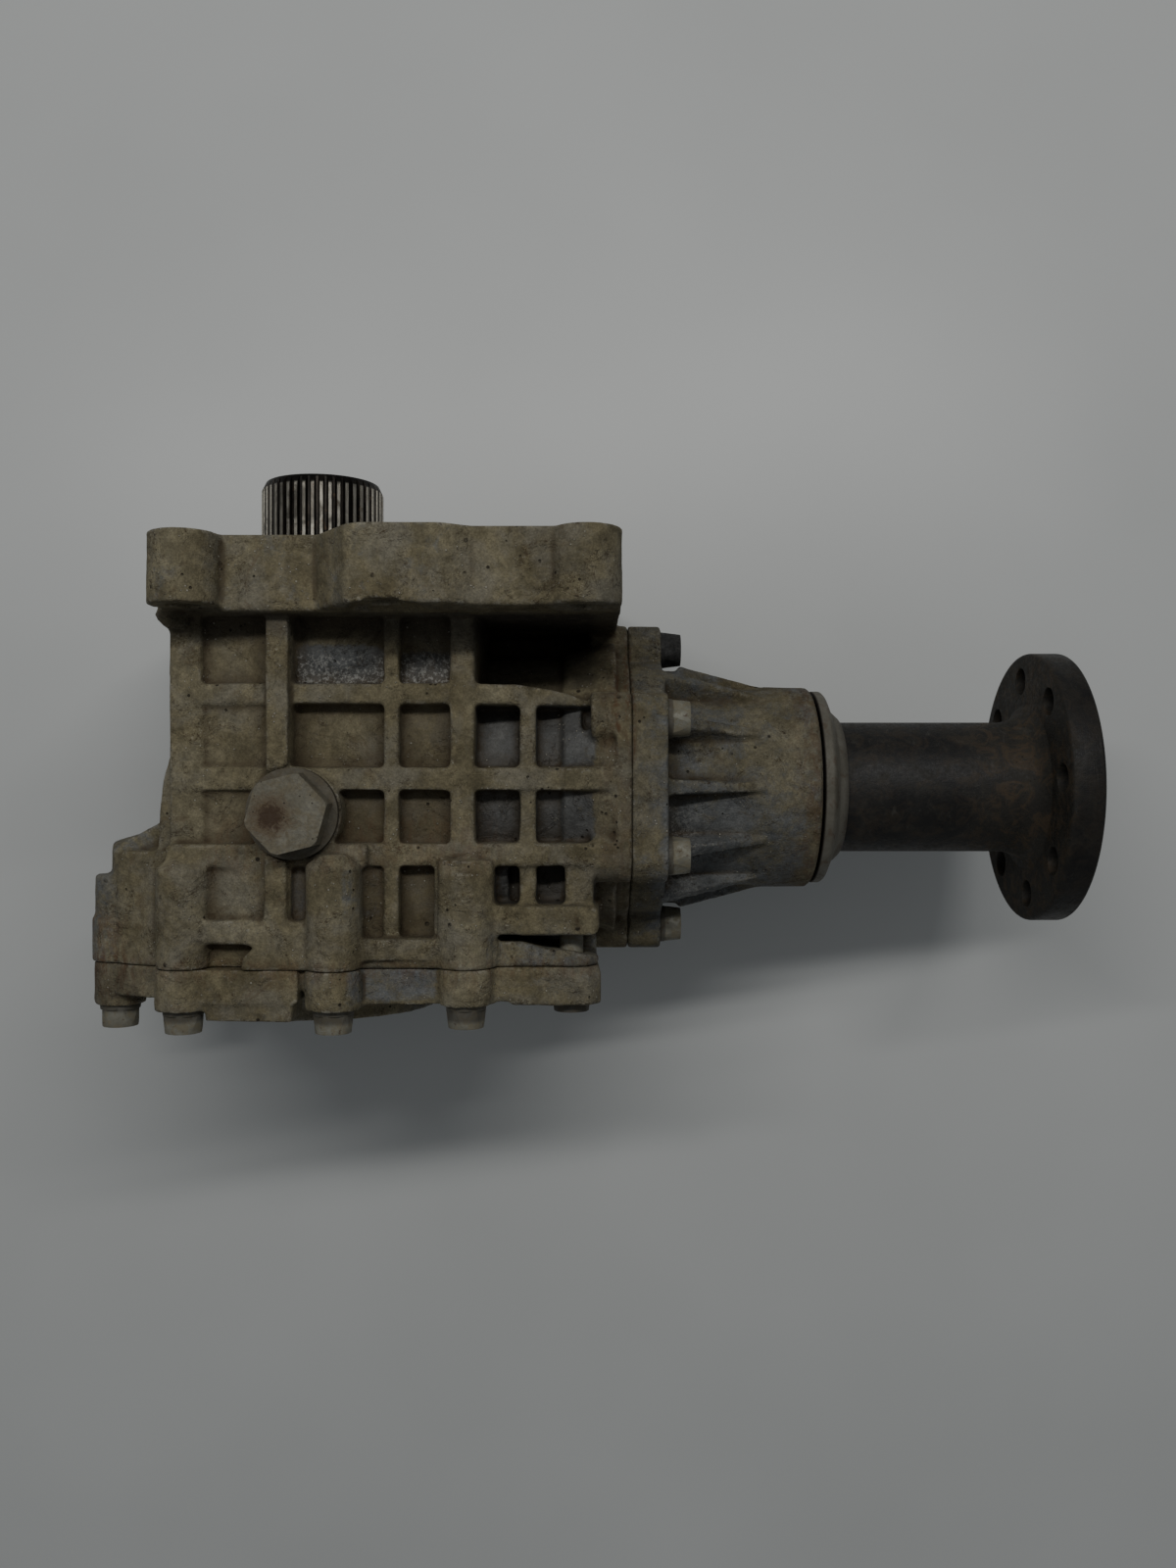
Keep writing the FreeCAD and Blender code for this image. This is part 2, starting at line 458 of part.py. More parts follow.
# where each bolt head sits: the front ones are stepped
SEATS = {"bb": -73.7, "bc": -73.0, "bd": -72.0, "be": -68.0}
for tag, x, z, r, top in CASE_BOLTS:
    dim(tag + "_seat", SEATS.get(tag, -75.0))
for k in range(8):
    ang = math.radians(22.5 + 45 * k)
    c, s = math.cos(ang), math.sin(ang)
    cov.append(prism("cover_rib_%s" % "abcdefgh"[k], "Y",
                     [(40 * c - 2.5 * s, 40 * s + 2.5 * c), (40 * c + 2.5 * s, 40 * s - 2.5 * c),
                      (72 * c + 2.5 * s, 72 * s - 2.5 * c), (72 * c - 2.5 * s, 72 * s + 2.5 * c)],
                     -71.5, -66.0))
for tag, x, z, r, top in CASE_BOLTS:
    cov.append(cyl("seat_" + tag, "Y", tag + "_px", tag + "_pz", tag + "_pr+0.2", tag + "_seat", "part_plane"))
    if z > 50 and x < 90 and x > -50:
        cov.append(box("seat_fill_" + tag, tag + "_px-" + tag + "_pr", tag + "_px+" + tag + "_pr",
                       tag + "_seat+1", "part_plane", 55.0, tag + "_pz"))
cover_raw = fuse("cover_raw", cov)
crem = [cyl("cover_bearing_bore", "Y", 0, 0, 40.0, -76.0, "part_plane+1"),
        cyl("cover_seal_bore", "Y", 0, 0, "seal_bore", -84.0, -70.0),
        cyl("cover_relief", "Y", 0, 0, 67.0, -63.0, "part_plane+1")]
relief_hub = cyl("relief_hub", "Y", 0, 0, 44.5, -64.0, "part_plane")
relief_ring = cut("relief_ring", crem.pop(), [relief_hub])
crem.append(relief_ring)
for tag, x, z, r, top in CASE_BOLTS:
    crem.append(cyl("cover_hole_" + tag, "Y", tag + "_px", tag + "_pz", "bolt_hole_rad+0.3", -76.0,
                    "part_plane+1"))
crem.append(cyl("cover_spot_be", "Y", "be_px", "be_pz", 7.9, -76.0, "be_seat"))
for tag, x, z in DOWELS:
    crem.append(cyl("cover_dowel_" + tag, "Y", tag + "_px", tag + "_pz", 2.25, -66.0, "part_plane+1"))
cover = node(cut("cover", cover_raw, crem), "side_cover")

# ========================================================== pinion housing
hsg_core = turned("hsg_core", "X",
                  [(71.0, 36.0), (71.0, 42.0), (72.0, 43.0), (108.6, 43.0), (108.6, 41.0), (111.4, 41.0),
                   (111.4, 43.0), (118.0, 43.0), (118.0, 47.0), (130.2, 47.0), (131.0, 39.4),
                   (134.0, 37.6), (156.0, 36.6), (162.0, 36.7), (168.0, 37.4), (183.9, 37.4),
                   ("adapter_end", 36.0), ("adapter_end", 31.0), (150.0, 31.0),
                   (150.0, 27.0), (145.0, 27.0), (140.0, 32.0), (98.0, 32.0), (94.0, 30.0), (89.0, 30.0),
                   (89.0, 36.0)], "axis_offset")
hadd = [hsg_core]
for tag, deg in LUGS:
    hadd.append(cyl("hsg_lug_" + tag, "X", tag + "_py", tag + "_pz", 9.0, "seam_x", 130.2))
hadd += [prism("hsg_front", "X", [(-32.0, 30.0), (-32.0, 61.0), (-30.0, 66.5), (-24.0, 69.8), (24.0, 69.8),
                                  (30.0, 66.5), (32.0, 61.0), (32.0, 30.0)], "seam_x", 130.2),
         prism("hsg_back", "X", [(-32.0, 0.0), (-32.0, -31.0), (-24.0, -39.8), (24.0, -39.8), (32.0, -31.0),
                                 (32.0, 0.0)], "seam_x", 130.2)]
# twelve tapering ribs on the cone
rib_tall = val(ex("hsg_rib_tall", 47.6).replace("Params.", ""))
rib_wide = val(ex("hsg_rib_wide", 6.6).replace("Params.", ""))
rib_low = val(ex("hsg_rib_low", 37.0).replace("Params.", ""))
zc = KNOWN["axis_offset"]
rib_shapes = []
for k in range(12):
    w = rib_wide / 2
    lo = Part.makePolygon([V(129.0, 30, zc - w), V(129.0, rib_tall, zc - w * 0.8), V(129.0, rib_tall, zc + w * 0.8),
                           V(129.0, 30, zc + w), V(129.0, 30, zc - w)])
    hi = Part.makePolygon([V(169.0, 34, zc - w * 0.45), V(169.0, rib_low, zc - w * 0.4),
                           V(169.0, rib_low, zc + w * 0.4), V(169.0, 34, zc + w * 0.45),
                           V(169.0, 34, zc - w * 0.45)])
    rib = Part.makeLoft([lo, hi], True, True)
    rib.rotate(V(0, 0, zc), V(1, 0, 0), 30 * k)
    # hollow inner side is trimmed away with the bore below
    rib_shapes.append(rib)
hsg_ribs = solid("hsg_ribs", rib_shapes[0].fuse(rib_shapes[1:]))
rib_trim = cyl("rib_trim", "X", 0, "axis_offset", 34.5, 120.0, 175.0)
hsg_ribs_cut = cut("hsg_ribs_cut", hsg_ribs, [rib_trim])
hadd.append(hsg_ribs_cut)
hsg_raw = fuse("hsg_raw", hadd)
hrem = [cyl("hsg_open", "X", 0, "axis_offset", 32.0, 98.0, 140.0),
        box("scallop_a", 117.0, 131.0, 36.0, 41.0, 44.0, 70.0)]
# dark scallops between neighbouring lugs, in the flange's edge
for tag, deg, rr in (("sa", 33.0, 55.5), ("sb", 147.0, 55.5), ("sc", 213.0, 55.5), ("sd", 327.0, 55.5)):
    a = math.radians(deg)
    hrem.append(cyl("scallop_" + tag, "X", rr * math.cos(a), zc + rr * math.sin(a), 8.0, 117.0, 131.0))
for tag, deg in LUGS:
    hrem.append(cyl("hsg_hole_" + tag, "X", tag + "_py", tag + "_pz", "bolt_hole_rad+0.3", 117.0, 131.0))
    hrem.append(cyl("hsg_spot_" + tag, "X", tag + "_py", tag + "_pz", 8.0, 130.2, 137.0))
hsg = node(cut("hsg", hsg_raw, hrem), "pinion_housing")

# ================================================================ fasteners
def hex_bolt(name, flats, head, collar, length, rad):
    """Bolt along X with its head's seat at the origin."""
    parts = [hexagon(name + "_hex", "X", 0, 0, flats, 0.0, head, 30),
             cyl(name + "_collar", "X", 0, 0, collar, 0.0, 1.6),
             cyl(name + "_shank", "X", 0, 0, rad, -length, 0.5)]
    body = fuse(name + "_plain", parts)
    round_off = cyl(name + "_round", "X", 0, 0, flats / 2 + 4.0, -length - 1.0, head, flats / 2 - 0.1)
    o = doc.addObject("Part::Common", name)
    o.Base = body
    o.Tool = round_off
    return o


bolt_long = hex_bolt("bolt_long", 12.0, 7.6, 7.4, 26.0, "case_bolt_rad")
bolt_short = hex_bolt("bolt_short", 12.0, 7.6, 7.4, 25.0, "case_bolt_rad")
bolt_ring = hex_bolt("bolt_ring", 12.0, 5.4, 6.4, 18.0, "case_bolt_rad")
down = FreeCAD.Rotation(V(0, 0, 1), -90)      # +X turned to -Y
node_later(lambda: group(
    "cover_bolt_set", bolt_long,
    [FreeCAD.Placement(V(KNOWN[t + "_px"], KNOWN[t + "_seat"], KNOWN[t + "_pz"]),
                       down.multiply(FreeCAD.Rotation(V(1, 0, 0), 17 * i + 8)))
     for i, (t, x, z, r, top) in enumerate(CASE_BOLTS)]), "side_cover_bolts")
node_later(lambda: group(
    "hsg_bolt_set", bolt_short,
    [FreeCAD.Placement(V(130.2, KNOWN[t + "_py"], KNOWN[t + "_pz"]), FreeCAD.Rotation(V(1, 0, 0), 23 * i))
     for i, (t, deg) in enumerate(LUGS)]), "pinion_housing_bolts")
ring_places = []
for k in range(int(KNOWN["ring_bolt_count"])):
    a = math.radians(36 * k)
    ring_places.append(FreeCAD.Placement(V(KNOWN["ring_bolt_circle"] * math.cos(a), -54.0,
                                           KNOWN["ring_bolt_circle"] * math.sin(a)), down))
node_later(lambda: group("ring_bolt_set", bolt_ring, ring_places), "ring_gear_bolts")
pin = cyl("pin", "Y", 0, 0, 2.2, -65.5, -54.5)
node_later(lambda: group("dowel_set", pin, [FreeCAD.Placement(V(x, 0, z), FreeCAD.Rotation())
                                            for t, x, z in DOWELS]), "cover_dowel_pins")

# ============================================================ plugs, breather
plug_hex = hexagon("plug_hex", "Z", 6.2, -8.6, 24.0, 79.2, 88.6, 14)
plug_round = cyl("plug_round", "Z", 6.2, -8.6, 22.0, 70.0, 88.6, 13.2)
plug_head = doc.addObject("Part::Common", "plug_head")
plug_head.Base = plug_hex
plug_head.Tool = plug_round
node(fuse("plug", [plug_head, cyl("plug_collar", "Z", 6.2, -8.6, 15.1, 77.0, 79.9),
                   cyl("plug_thread", "Z", 6.2, -8.6, 8.95, 61.0, 78.0)]), "filler_plug")
node(cut("plug_gasket", cyl("plug_gasket_out", "Z", 6.2, -8.6, 14.2, 75.6, 77.0),
         [cyl("plug_gasket_in", "Z", 6.2, -8.6, 9.1, 75.0, 78.0)]), "filler_plug_gasket")
node(fuse("drain", [hexagon("drain_hex", "Z", 48.0, 6.0, 17.0, -50.0, -44.0, 0),
                    cyl("drain_collar", "Z", 48.0, 6.0, 11.0, -44.5, -42.5),
                    cyl("drain_thread", "Z", 48.0, 6.0, 6.95, -43.0, -28.0)]), "drain_plug")
node(cut("drain_gasket", cyl("drain_gasket_out", "Z", 48.0, 6.0, 10.0, -42.5, -41.0),
         [cyl("drain_gasket_in", "Z", 48.0, 6.0, 7.1, -43.0, -40.0)]), "drain_plug_gasket")
node(fuse("vent", [hexagon("vent_hex", "X", 30.0, -15.0, 11.0, -56.0, -52.0, 0),
                   cyl("vent_stem", "X", 30.0, -15.0, 2.9, -59.0, -44.0),
                   cyl("vent_cap", "X", 30.0, -15.0, 5.6, -62.0, -57.5),
                   cyl("vent_dome", "X", 30.0, -15.0, 4.2, -63.0, -62.0, 5.6)]), "breather")

# ================================================================== shafts
shaft_core = turned("shaft_core", "Y",
                    [("shaft_low", "bore_rad"), (-85.0, 22.3), (-84.0, 23.3), (-76.0, 23.3), (-76.0, 24.96),
                     (-60.0, 24.96), (-60.0, 29.0), (-54.0, 29.0), (-54.0, 58.0), (-46.0, 58.0),
                     (-46.0, 37.9), (-40.0, 37.9), (-38.0, 27.0), (48.0, 27.0), (48.0, 24.96),
                     (68.0, 24.96), (68.0, 23.3), (83.0, 23.3), (84.5, 21.9), ("shaft_top-1", 21.9),
                     ("shaft_top", 20.9), ("shaft_top", "bore_rad")])
teeth_n = int(KNOWN["spline_teeth"])
r_tip = val(ex("spline_tip", 23.2).replace("Params.", ""))
r_root = val(ex("spline_root", 22.0).replace("Params.", ""))


def star(n, root, tip, level, make):
    """Closed polygon of n teeth with sloping flanks."""
    pts = []
    for k in range(n):
        for f, r in ((-0.36, root), (-0.17, tip), (0.17, tip), (0.36, root)):
            a = 2 * math.pi * (k + f) / n
            pts.append(make(r * math.cos(a), r * math.sin(a), level))
    pts.append(pts[0])
    return Part.makePolygon(pts)


spline_wire = star(teeth_n, r_root, r_tip, 84.0, lambda a, b, c: V(a, c, b))
spline_bar = Part.Face(spline_wire).extrude(V(0, KNOWN["shaft_top"] - 84.0, 0))
spline_lim = Part.makeCone(37.4, 21.6, KNOWN["shaft_top"] - 84.0, V(0, 84.0, 0), V(0, 1, 0))
bore_bar = Part.makeCylinder(KNOWN["bore_rad"] + 2.0, 60, V(0, 70, 0), V(0, 1, 0))
spline_obj = solid("spline_teeth_ring", spline_bar.common(spline_lim).cut(bore_bar))
shaft_raw = fuse("shaft_raw", [shaft_core, spline_obj])
srem = []
for k in range(int(KNOWN["ring_bolt_count"])):
    a = math.radians(36 * k)
    srem.append(cyl("shaft_hole_%s" % "abcdefghij"[k], "Y", KNOWN["ring_bolt_circle"] * math.cos(a),
                    KNOWN["ring_bolt_circle"] * math.sin(a), "bolt_hole_rad", -55.0, -45.0))
node(cut("shaft", shaft_raw, srem), "input_shaft")

# ------------------------------------------------------------- hypoid pair
NR, NP = int(KNOWN["ring_teeth"]), int(KNOWN["pinion_teeth"])
RM, RI, RO = KNOWN["ring_mean_rad"], KNOWN["ring_inner_rad"], KNOWN["ring_outer_rad"]
SLOPE, DEPTH = KNOWN["pitch_slope"], KNOWN["pitch_depth"]
BETA = math.radians(KNOWN["spiral_angle"])
TANF = math.tan(math.radians(KNOWN["flank_angle"]))
PITCH = 2 * math.pi / NR
GAP = KNOWN["mesh_gap"]


def pitch_y(r):
    return -(DEPTH + SLOPE * (r - RM))


def spiral(r):
    return math.tan(BETA) * math.log(r / RM)


def half_width(r, up, extra=0.0):
    """Half of a crown wheel tooth, measured along the circle."""
    normal = math.pi * r / (2 * NR) * math.cos(BETA) * 0.96 - up * TANF
    return (normal + extra) / math.cos(BETA)


ring_blank = turned("ring_blank", "Y",
                    [(-46.0, 38.0), (-46.0, 66.5), ("-pitch_depth-10.6", 66.5),
                     (pitch_y(66.5) - KNOWN["ring_ded"] * 66.5 / RM, 66.2),
                     (pitch_y(46.5) - KNOWN["ring_ded"] * 46.5 / RM, 46.5),
                     (-30.0, 44.0), (-30.0, 38.0)])
tooth_secs = []
for i in range(7):
    r = RI + (RO - RI) * i / 6.0
    k = r / RM
    y0 = pitch_y(r) - KNOWN["ring_ded"] * k - 0.6
    y1 = pitch_y(r) + KNOWN["ring_add"] * k
    wb = half_width(r, -KNOWN["ring_ded"] * k - 0.6)
    wt = half_width(r, KNOWN["ring_add"] * k)
    ph = spiral(r)
    rad = V(math.cos(ph), 0, math.sin(ph))
    tan = V(-math.sin(ph), 0, math.cos(ph))
    q = [rad * r + tan * s + V(0, y, 0) for s, y in ((-wb, y0), (wb, y0), (wt, y1), (-wt, y1))]
    tooth_secs.append(Part.makePolygon(q + [q[0]]))
tooth = Part.makeLoft(tooth_secs, True, True)
teeth = []
for k in range(NR):
    t = tooth.copy()
    t.rotate(V(0, 0, 0), V(0, 1, 0), 360.0 * k / NR)
    teeth.append(t)
holes = []
for k in range(int(KNOWN["ring_bolt_count"])):
    a = math.radians(36 * k)
    holes.append(Part.makeCylinder(KNOWN["bolt_hole_rad"], 11.5,
                                   V(KNOWN["ring_bolt_circle"] * math.cos(a), -46.5,
                                     KNOWN["ring_bolt_circle"] * math.sin(a)), V(0, 1, 0)))
node_later(lambda: solid("crown_wheel", ring_blank.Shape.copy().fuse(teeth).cut(holes)), "ring_gear")


def in_ring(x, y, z, a):
    """True where the crown wheel, turned by a and grown by the gap, is."""
    r = math.hypot(x, z)
    if r > 66.5 + GAP:
        return False
    k = r / RM
    if r > 44.0 - GAP and y - pitch_y(r) < -KNOWN["ring_ded"] * k + GAP:
        return True
    if r < RI - GAP or r > RO + 0.1 + GAP:
        return False
    if y - pitch_y(r) > KNOWN["ring_add"] * k + 2 * GAP:
        return False
    turn = math.atan2(z, x) + a
    d = (turn - spiral(r) + PITCH / 2) % PITCH - PITCH / 2
    at = r * math.cos(d)
    d = (turn - spiral(at) + PITCH / 2) % PITCH - PITCH / 2
    h = y - pitch_y(at)
    if h > KNOWN["ring_add"] * at / RM + GAP:
        return False
    return abs(r * math.sin(d)) < half_width(at, h, GAP)


def free_radius(x, th, start, stop):
    """Largest radius of the pinion at one angle that never meets the wheel."""
    best = stop
    for k in range(0, 193):
        big = math.pi + math.radians(-48.0 + k / 2.0)
        c, s = math.cos(big), math.sin(big)
        a = (big - th) * NP / NR
        r = start
        while r < best:
            if in_ring(x, r * c, zc + r * s, a):
                lo, hi = r - 0.4, r
                for _ in range(5):
                    mid = (lo + hi) / 2
                    if in_ring(x, mid * c, zc + mid * s, a):
                        hi = mid
                    else:
                        lo = mid
                best = min(best, lo)
                break
            r += 0.4
    return best


SIDES = 16
STATIONS = (45.0, 48.0, 51.0, 54.0, 57.0, 60.0, 62.5, 65.0)
wires = []
for x in STATIONS:
    rho = math.hypot(x, zc)
    rp = -pitch_y(rho)
    stop = rp + 2.9 * rho / RM
    shift = math.pi - NR / NP * (spiral(rho) - math.atan2(zc, x) + PITCH / 2)
    step = 2 * math.pi / NP / SIDES
    rad = [free_radius(x, shift + k * step, rp - 7.0, stop) for k in range(SIDES)]
    mids = [free_radius(x, shift + (k + 0.5) * step, rp - 7.0, stop) for k in range(SIDES)]
    for _ in range(6):
        for k in range(SIDES):
            n = (k + 1) % SIDES
            if (rad[k] + rad[n]) / 2 > mids[k] + 0.02:
                over = (rad[k] + rad[n]) / 2 - mids[k]
                if rad[k] > rad[n]:
                    rad[k] -= over
                else:
                    rad[n] -= over
    pts = []
    for t in range(NP):
        for k in range(SIDES):
            th = shift + k * step + 2 * math.pi * t / NP
            pts.append(V(x, rad[k] * math.cos(th), zc + rad[k] * math.sin(th)))
    wires.append(Part.makePolygon(pts + [pts[0]]))
pinion_teeth = Part.makeLoft(wires, True, True)
if pinion_teeth.Volume < 0:
    pinion_teeth.reverse()
pinion_stub = turned("pinion_stub", "X", [(40.0, 0), (40.0, 12.0), (41.5, 14.5), (45.0, 16.0), (45.0, 0)],
                     "axis_offset")
pinion_stem = turned("pinion_stem", "X",
                     [(65.0, 0), (65.0, 26.5), (70.2, 25.0), (70.2, 17.46), (90.0, 17.46), (92.0, 16.5),
                      (148.0, 16.5), (150.0, 14.96), (167.4, 14.96), (168.2, 13.0), (204.0, 13.0),
                      (204.8, 11.9), (223.0, 11.9), (224.0, 10.9), (224.0, 0)], "axis_offset")
stem_spline = Part.Face(star(24, 13.0, 14.0, 171.0, lambda a, b, c: V(c, a, zc + b))).extrude(V(33.0, 0, 0))
node_later(lambda: solid("pinion", pinion_stem.Shape.copy().fuse(stem_spline).fuse(
    [pinion_teeth, pinion_stub.Shape.copy()])), "hypoid_pinion")
node(turned("pinion_shim_ring", "X", [(70.2, 17.5), (70.2, 24.0), (71.0, 24.0), (71.0, 17.5)],
            "axis_offset"), "pinion_shim")
node(turned("spacer_tube", "X",
            [(89.0, 17.5), (89.0, 20.0), (112.0, 20.0), (118.0, 22.5), (124.0, 20.0), (150.0, 20.0),
             (150.0, 17.5), (123.5, 17.5), (118.0, 20.0), (112.5, 17.5)], "axis_offset"),
     "collapsible_spacer")

# --------------------------------------------------- long companion flange
flange_body = turned("flange_body", "X",
                     [("tube_start", 14.05), ("tube_start", 23.6), (169.3, "tube_rad"), (257.5, "tube_rad"),
                      (261.5, 24.9), (265.0, 27.0), ("disc_start", 30.6), ("disc_start", 49.3),
                      ("disc_start+0.7", "flange_rad"),
                      (278.3, "flange_rad"), ("disc_end", 49.3), ("disc_end", 29.5), (278.5, 29.0), (275.5, 29.0), (275.5, 19.0),
                      (205.0, 19.0), (205.0, 14.05)], "axis_offset")
hole_sk = flange_body.newObject("Sketcher::SketchObject", "flange_hole_sketch")
hole_sk.AttachmentSupport = [(plane(flange_body, "YZ_Plane"), "")]
hole_sk.MapMode = "FlatFace"
hole_turn = dim("flange_hole_turn", 4.5)
hy = KNOWN["flange_pcd"] / 2 * math.cos(math.radians(4.5))
hz = KNOWN["flange_pcd"] / 2 * math.sin(math.radians(4.5))
hole_sk.addGeometry(Part.Circle(V(hy, -hz, 0), V(0, 0, 1), KNOWN["flange_hole_rad"]), False)
c = hole_sk.addConstraint(Sketcher.Constraint("Radius", 0, KNOWN["flange_hole_rad"]))
hole_sk.setExpression("Constraints[%d]" % c, "Params.flange_hole_rad")
c = hole_sk.addConstraint(Sketcher.Constraint("DistanceX", -1, 1, 0, 3, hy))
hole_sk.setExpression("Constraints[%d]" % c, "Params.flange_pcd / 2 * cos(Params.flange_hole_turn * 1 deg)")
c = hole_sk.addConstraint(Sketcher.Constraint("DistanceY", 0, 3, -1, 1, hz))
hole_sk.setExpression("Constraints[%d]" % c, "Params.flange_pcd / 2 * sin(Params.flange_hole_turn * 1 deg)")
pocket = flange_body.newObject("PartDesign::Pocket", "flange_hole")
pocket.Profile = hole_sk
pocket.Type = "ThroughAll"
pocket.Reversed = True
flange_body.Tip = pocket
pattern = flange_body.newObject("PartDesign::PolarPattern", "flange_hole_ring")
pattern.Originals = [pocket]
pattern.Axis = (hole_sk, ["N_Axis"])
pattern.Angle = 360
pattern.setExpression("Occurrences", "Params.flange_holes")
flange_body.Tip = pattern
node(flange_body, "output_flange")
node(turned("slinger", "X",
            [(186.4, 33.6), (186.4, 35.9), (189.3, 35.9), (190.2, 35.0), (192.9, 28.8), (194.0, 28.0),
             (195.9, 26.2), (196.6, 25.3), (196.6, 24.3), (192.2, 24.3), (191.6, 26.9), (188.6, 33.2)],
            "axis_offset"), "dust_deflector")
node(turned("nut_washer", "X", [(205.0, 12.2), (205.0, 18.2), (208.0, 18.2), (208.0, 12.2)],
            "axis_offset"), "pinion_nut_washer")
nut_hex = hexagon("nut_hex", "X", 0, "axis_offset", 32.0, 208.0, 220.0, 10)
node(cut("nut", nut_hex, [cyl("nut_bore", "X", 0, "axis_offset", 12.0, 207.0, 221.0)]), "pinion_nut")


# ================================================================= bearings
def bearing(prefix, axis, back, depth, rb, ro, rc, rm, length, count, offset):
    """Tapered roller bearing.  back: where the cup's back face is on the
    axis; depth: signed width from there to the back of the inner ring."""
    sgn = 1.0 if depth > 0 else -1.0
    wide = abs(depth)
    g = KNOWN["roller_gap"]
    gam, dlt = math.radians(13.0), math.radians(2.0)
    uc = wide * 0.52
    for k, v in (("back", back), ("depth", depth), ("in", rb), ("out", ro), ("mid", rc), ("roll", rm),
                 ("long", length), ("count", count)):
        dim("%s_%s_size" % (prefix, k), v)

    def cup_r(u):
        px, py = uc - rm * math.sin(gam), rc + rm * math.cos(gam)
        an = gam + dlt
        return py + g * math.cos(an) + (u - px + g * math.sin(an)) * math.tan(an)

    def cone_r(u):
        px, py = uc + rm * math.sin(gam), rc - rm * math.cos(gam)
        an = gam - dlt
        return py - g * math.cos(an) + (u - px - g * math.sin(an)) * math.tan(an)

    def at(u):
        return back + sgn * u

    cw = wide - 3.5
    cup = turned(prefix + "_cup_ring", axis, [(at(0), cup_r(0)), (at(0), ro), (at(cw), ro), (at(cw), cup_r(cw))],
                 offset)
    rl, rs = rm + length / 2 * math.tan(dlt), rm - length / 2 * math.tan(dlt)
    ul = uc + length / 2 * math.cos(gam) + rl * math.sin(gam) + g
    us = uc - length / 2 * math.cos(gam) + rs * math.sin(gam) - 0.5
    lip = min(cone_r(ul) + 2.6, rc)
    cone = turned(prefix + "_cone_ring", axis,
                  [(at(us - 2.2), rb), (at(us - 2.2), cone_r(us) + 0.5), (at(us), cone_r(us) + 0.5),
                   (at(us), cone_r(us)), (at(ul), cone_r(ul)), (at(ul), lip), (at(wide), lip), (at(wide), rb)],
                  offset)
    z0 = KNOWN["axis_offset"] if offset else 0.0
    org = V(0, 0, z0)
    adir = V(0, 1, 0) if axis == "Y" else V(1, 0, 0)
    rdir = V(0, 0, 1)
    rolls, tools = [], []
    for k in range(count):
        mid = org + adir * at(uc) + rdir * rc
        d = adir * (sgn * math.cos(gam)) + rdir * math.sin(gam)
        for out, e in ((rolls, 0.0), (tools, 0.28)):
            ro_ = Part.makeCone(rs + e, rl + e, length + 2 * e, mid - d * (length / 2 + e), d)
            ro_.rotate(org, adir, 360.0 * k / count)
            out.append(ro_)
    rollers = solid(prefix + "_roller_set", Part.Compound(rolls))

    def shell_r(u, up):
        return rc + (u - uc) * math.tan(gam) + up

    ua, ub = uc - length / 2 - 1.9, uc + length / 2 + 1.7
    cage_blank = turned(prefix + "_cage_blank", axis,
                        [(at(ua), shell_r(ua, 0.2)), (at(ua), shell_r(ua, 1.5)), (at(ub), shell_r(ub, 1.5)),
                         (at(ub), shell_r(ub, 0.2))], offset)
    node(cup, prefix + "_bearing_cup")
    node(cone, prefix + "_bearing_cone")
    node(rollers, prefix + "_bearing_rollers")
    node_later(lambda: solid(prefix + "_cage_ring", cage_blank.Shape.copy().cut(tools)),
               prefix + "_bearing_cage")


bearing("upper", "Y", 68.0, -20.0, 25.0, 40.0, 32.6, 4.0, 12.6, 19, None)
bearing("lower", "Y", -76.0, 16.0, 25.0, 40.0, 32.6, 3.7, 9.6, 20, None)
bearing("pinion_head", "X", 89.0, -18.0, 17.5, 36.0, 26.8, 4.4, 11.2, 15, "axis_offset")
bearing("pinion_tail", "X", 150.0, 17.0, 15.0, 31.0, 23.0, 3.8, 10.4, 15, "axis_offset")

# ==================================================================== seals
node(turned("input_seal", "Y",
            [(71.0, 27.0), (71.0, "seal_bore"), (79.0, "seal_bore"), (79.0, 24.6), (77.8, 24.0), (76.6, 23.36),
             (75.4, 23.36), (74.0, 24.4), (74.0, 26.0), (77.0, 26.6), (77.0, 31.5), (72.2, 31.5),
             (72.2, 27.0)]), "input_oil_seal")
node(turned("driveshaft_seal", "Y",
            [(-76.0, 31.5), (-76.0, "seal_bore"), (-83.6, "seal_bore"), (-83.6, 24.8), (-82.4, 24.0),
             (-81.4, 23.36), (-80.2, 23.36), (-79.2, 24.4), (-79.2, 26.0), (-82.0, 26.6), (-82.0, 31.5)]),
     "driveshaft_oil_seal")
node(turned("output_seal", "X",
            [(172.0, 29.6), (172.0, 31.0), (181.0, 31.0), (181.0, 25.8), (179.8, 25.0), (178.6, 24.31),
             (177.4, 24.31), (176.0, 25.4), (176.0, 26.6), (179.4, 27.2), (179.4, 29.6)], "axis_offset"),
     "pinion_oil_seal")
o_ring = doc.addObject("Part::Torus", "o_ring")
o_ring.Placement = FreeCAD.Placement(V(), ROT["X"])
o_ring.setExpression("Radius1", ex("o_ring_mid", 42.0))
o_ring.setExpression("Radius2", ex("o_ring_thick", 1.0))
o_ring.setExpression(".Placement.Base.x", ex("o_ring_px", 110.0))
o_ring.setExpression(".Placement.Base.z", "Params.axis_offset")
node(o_ring, "pinion_housing_o_ring")

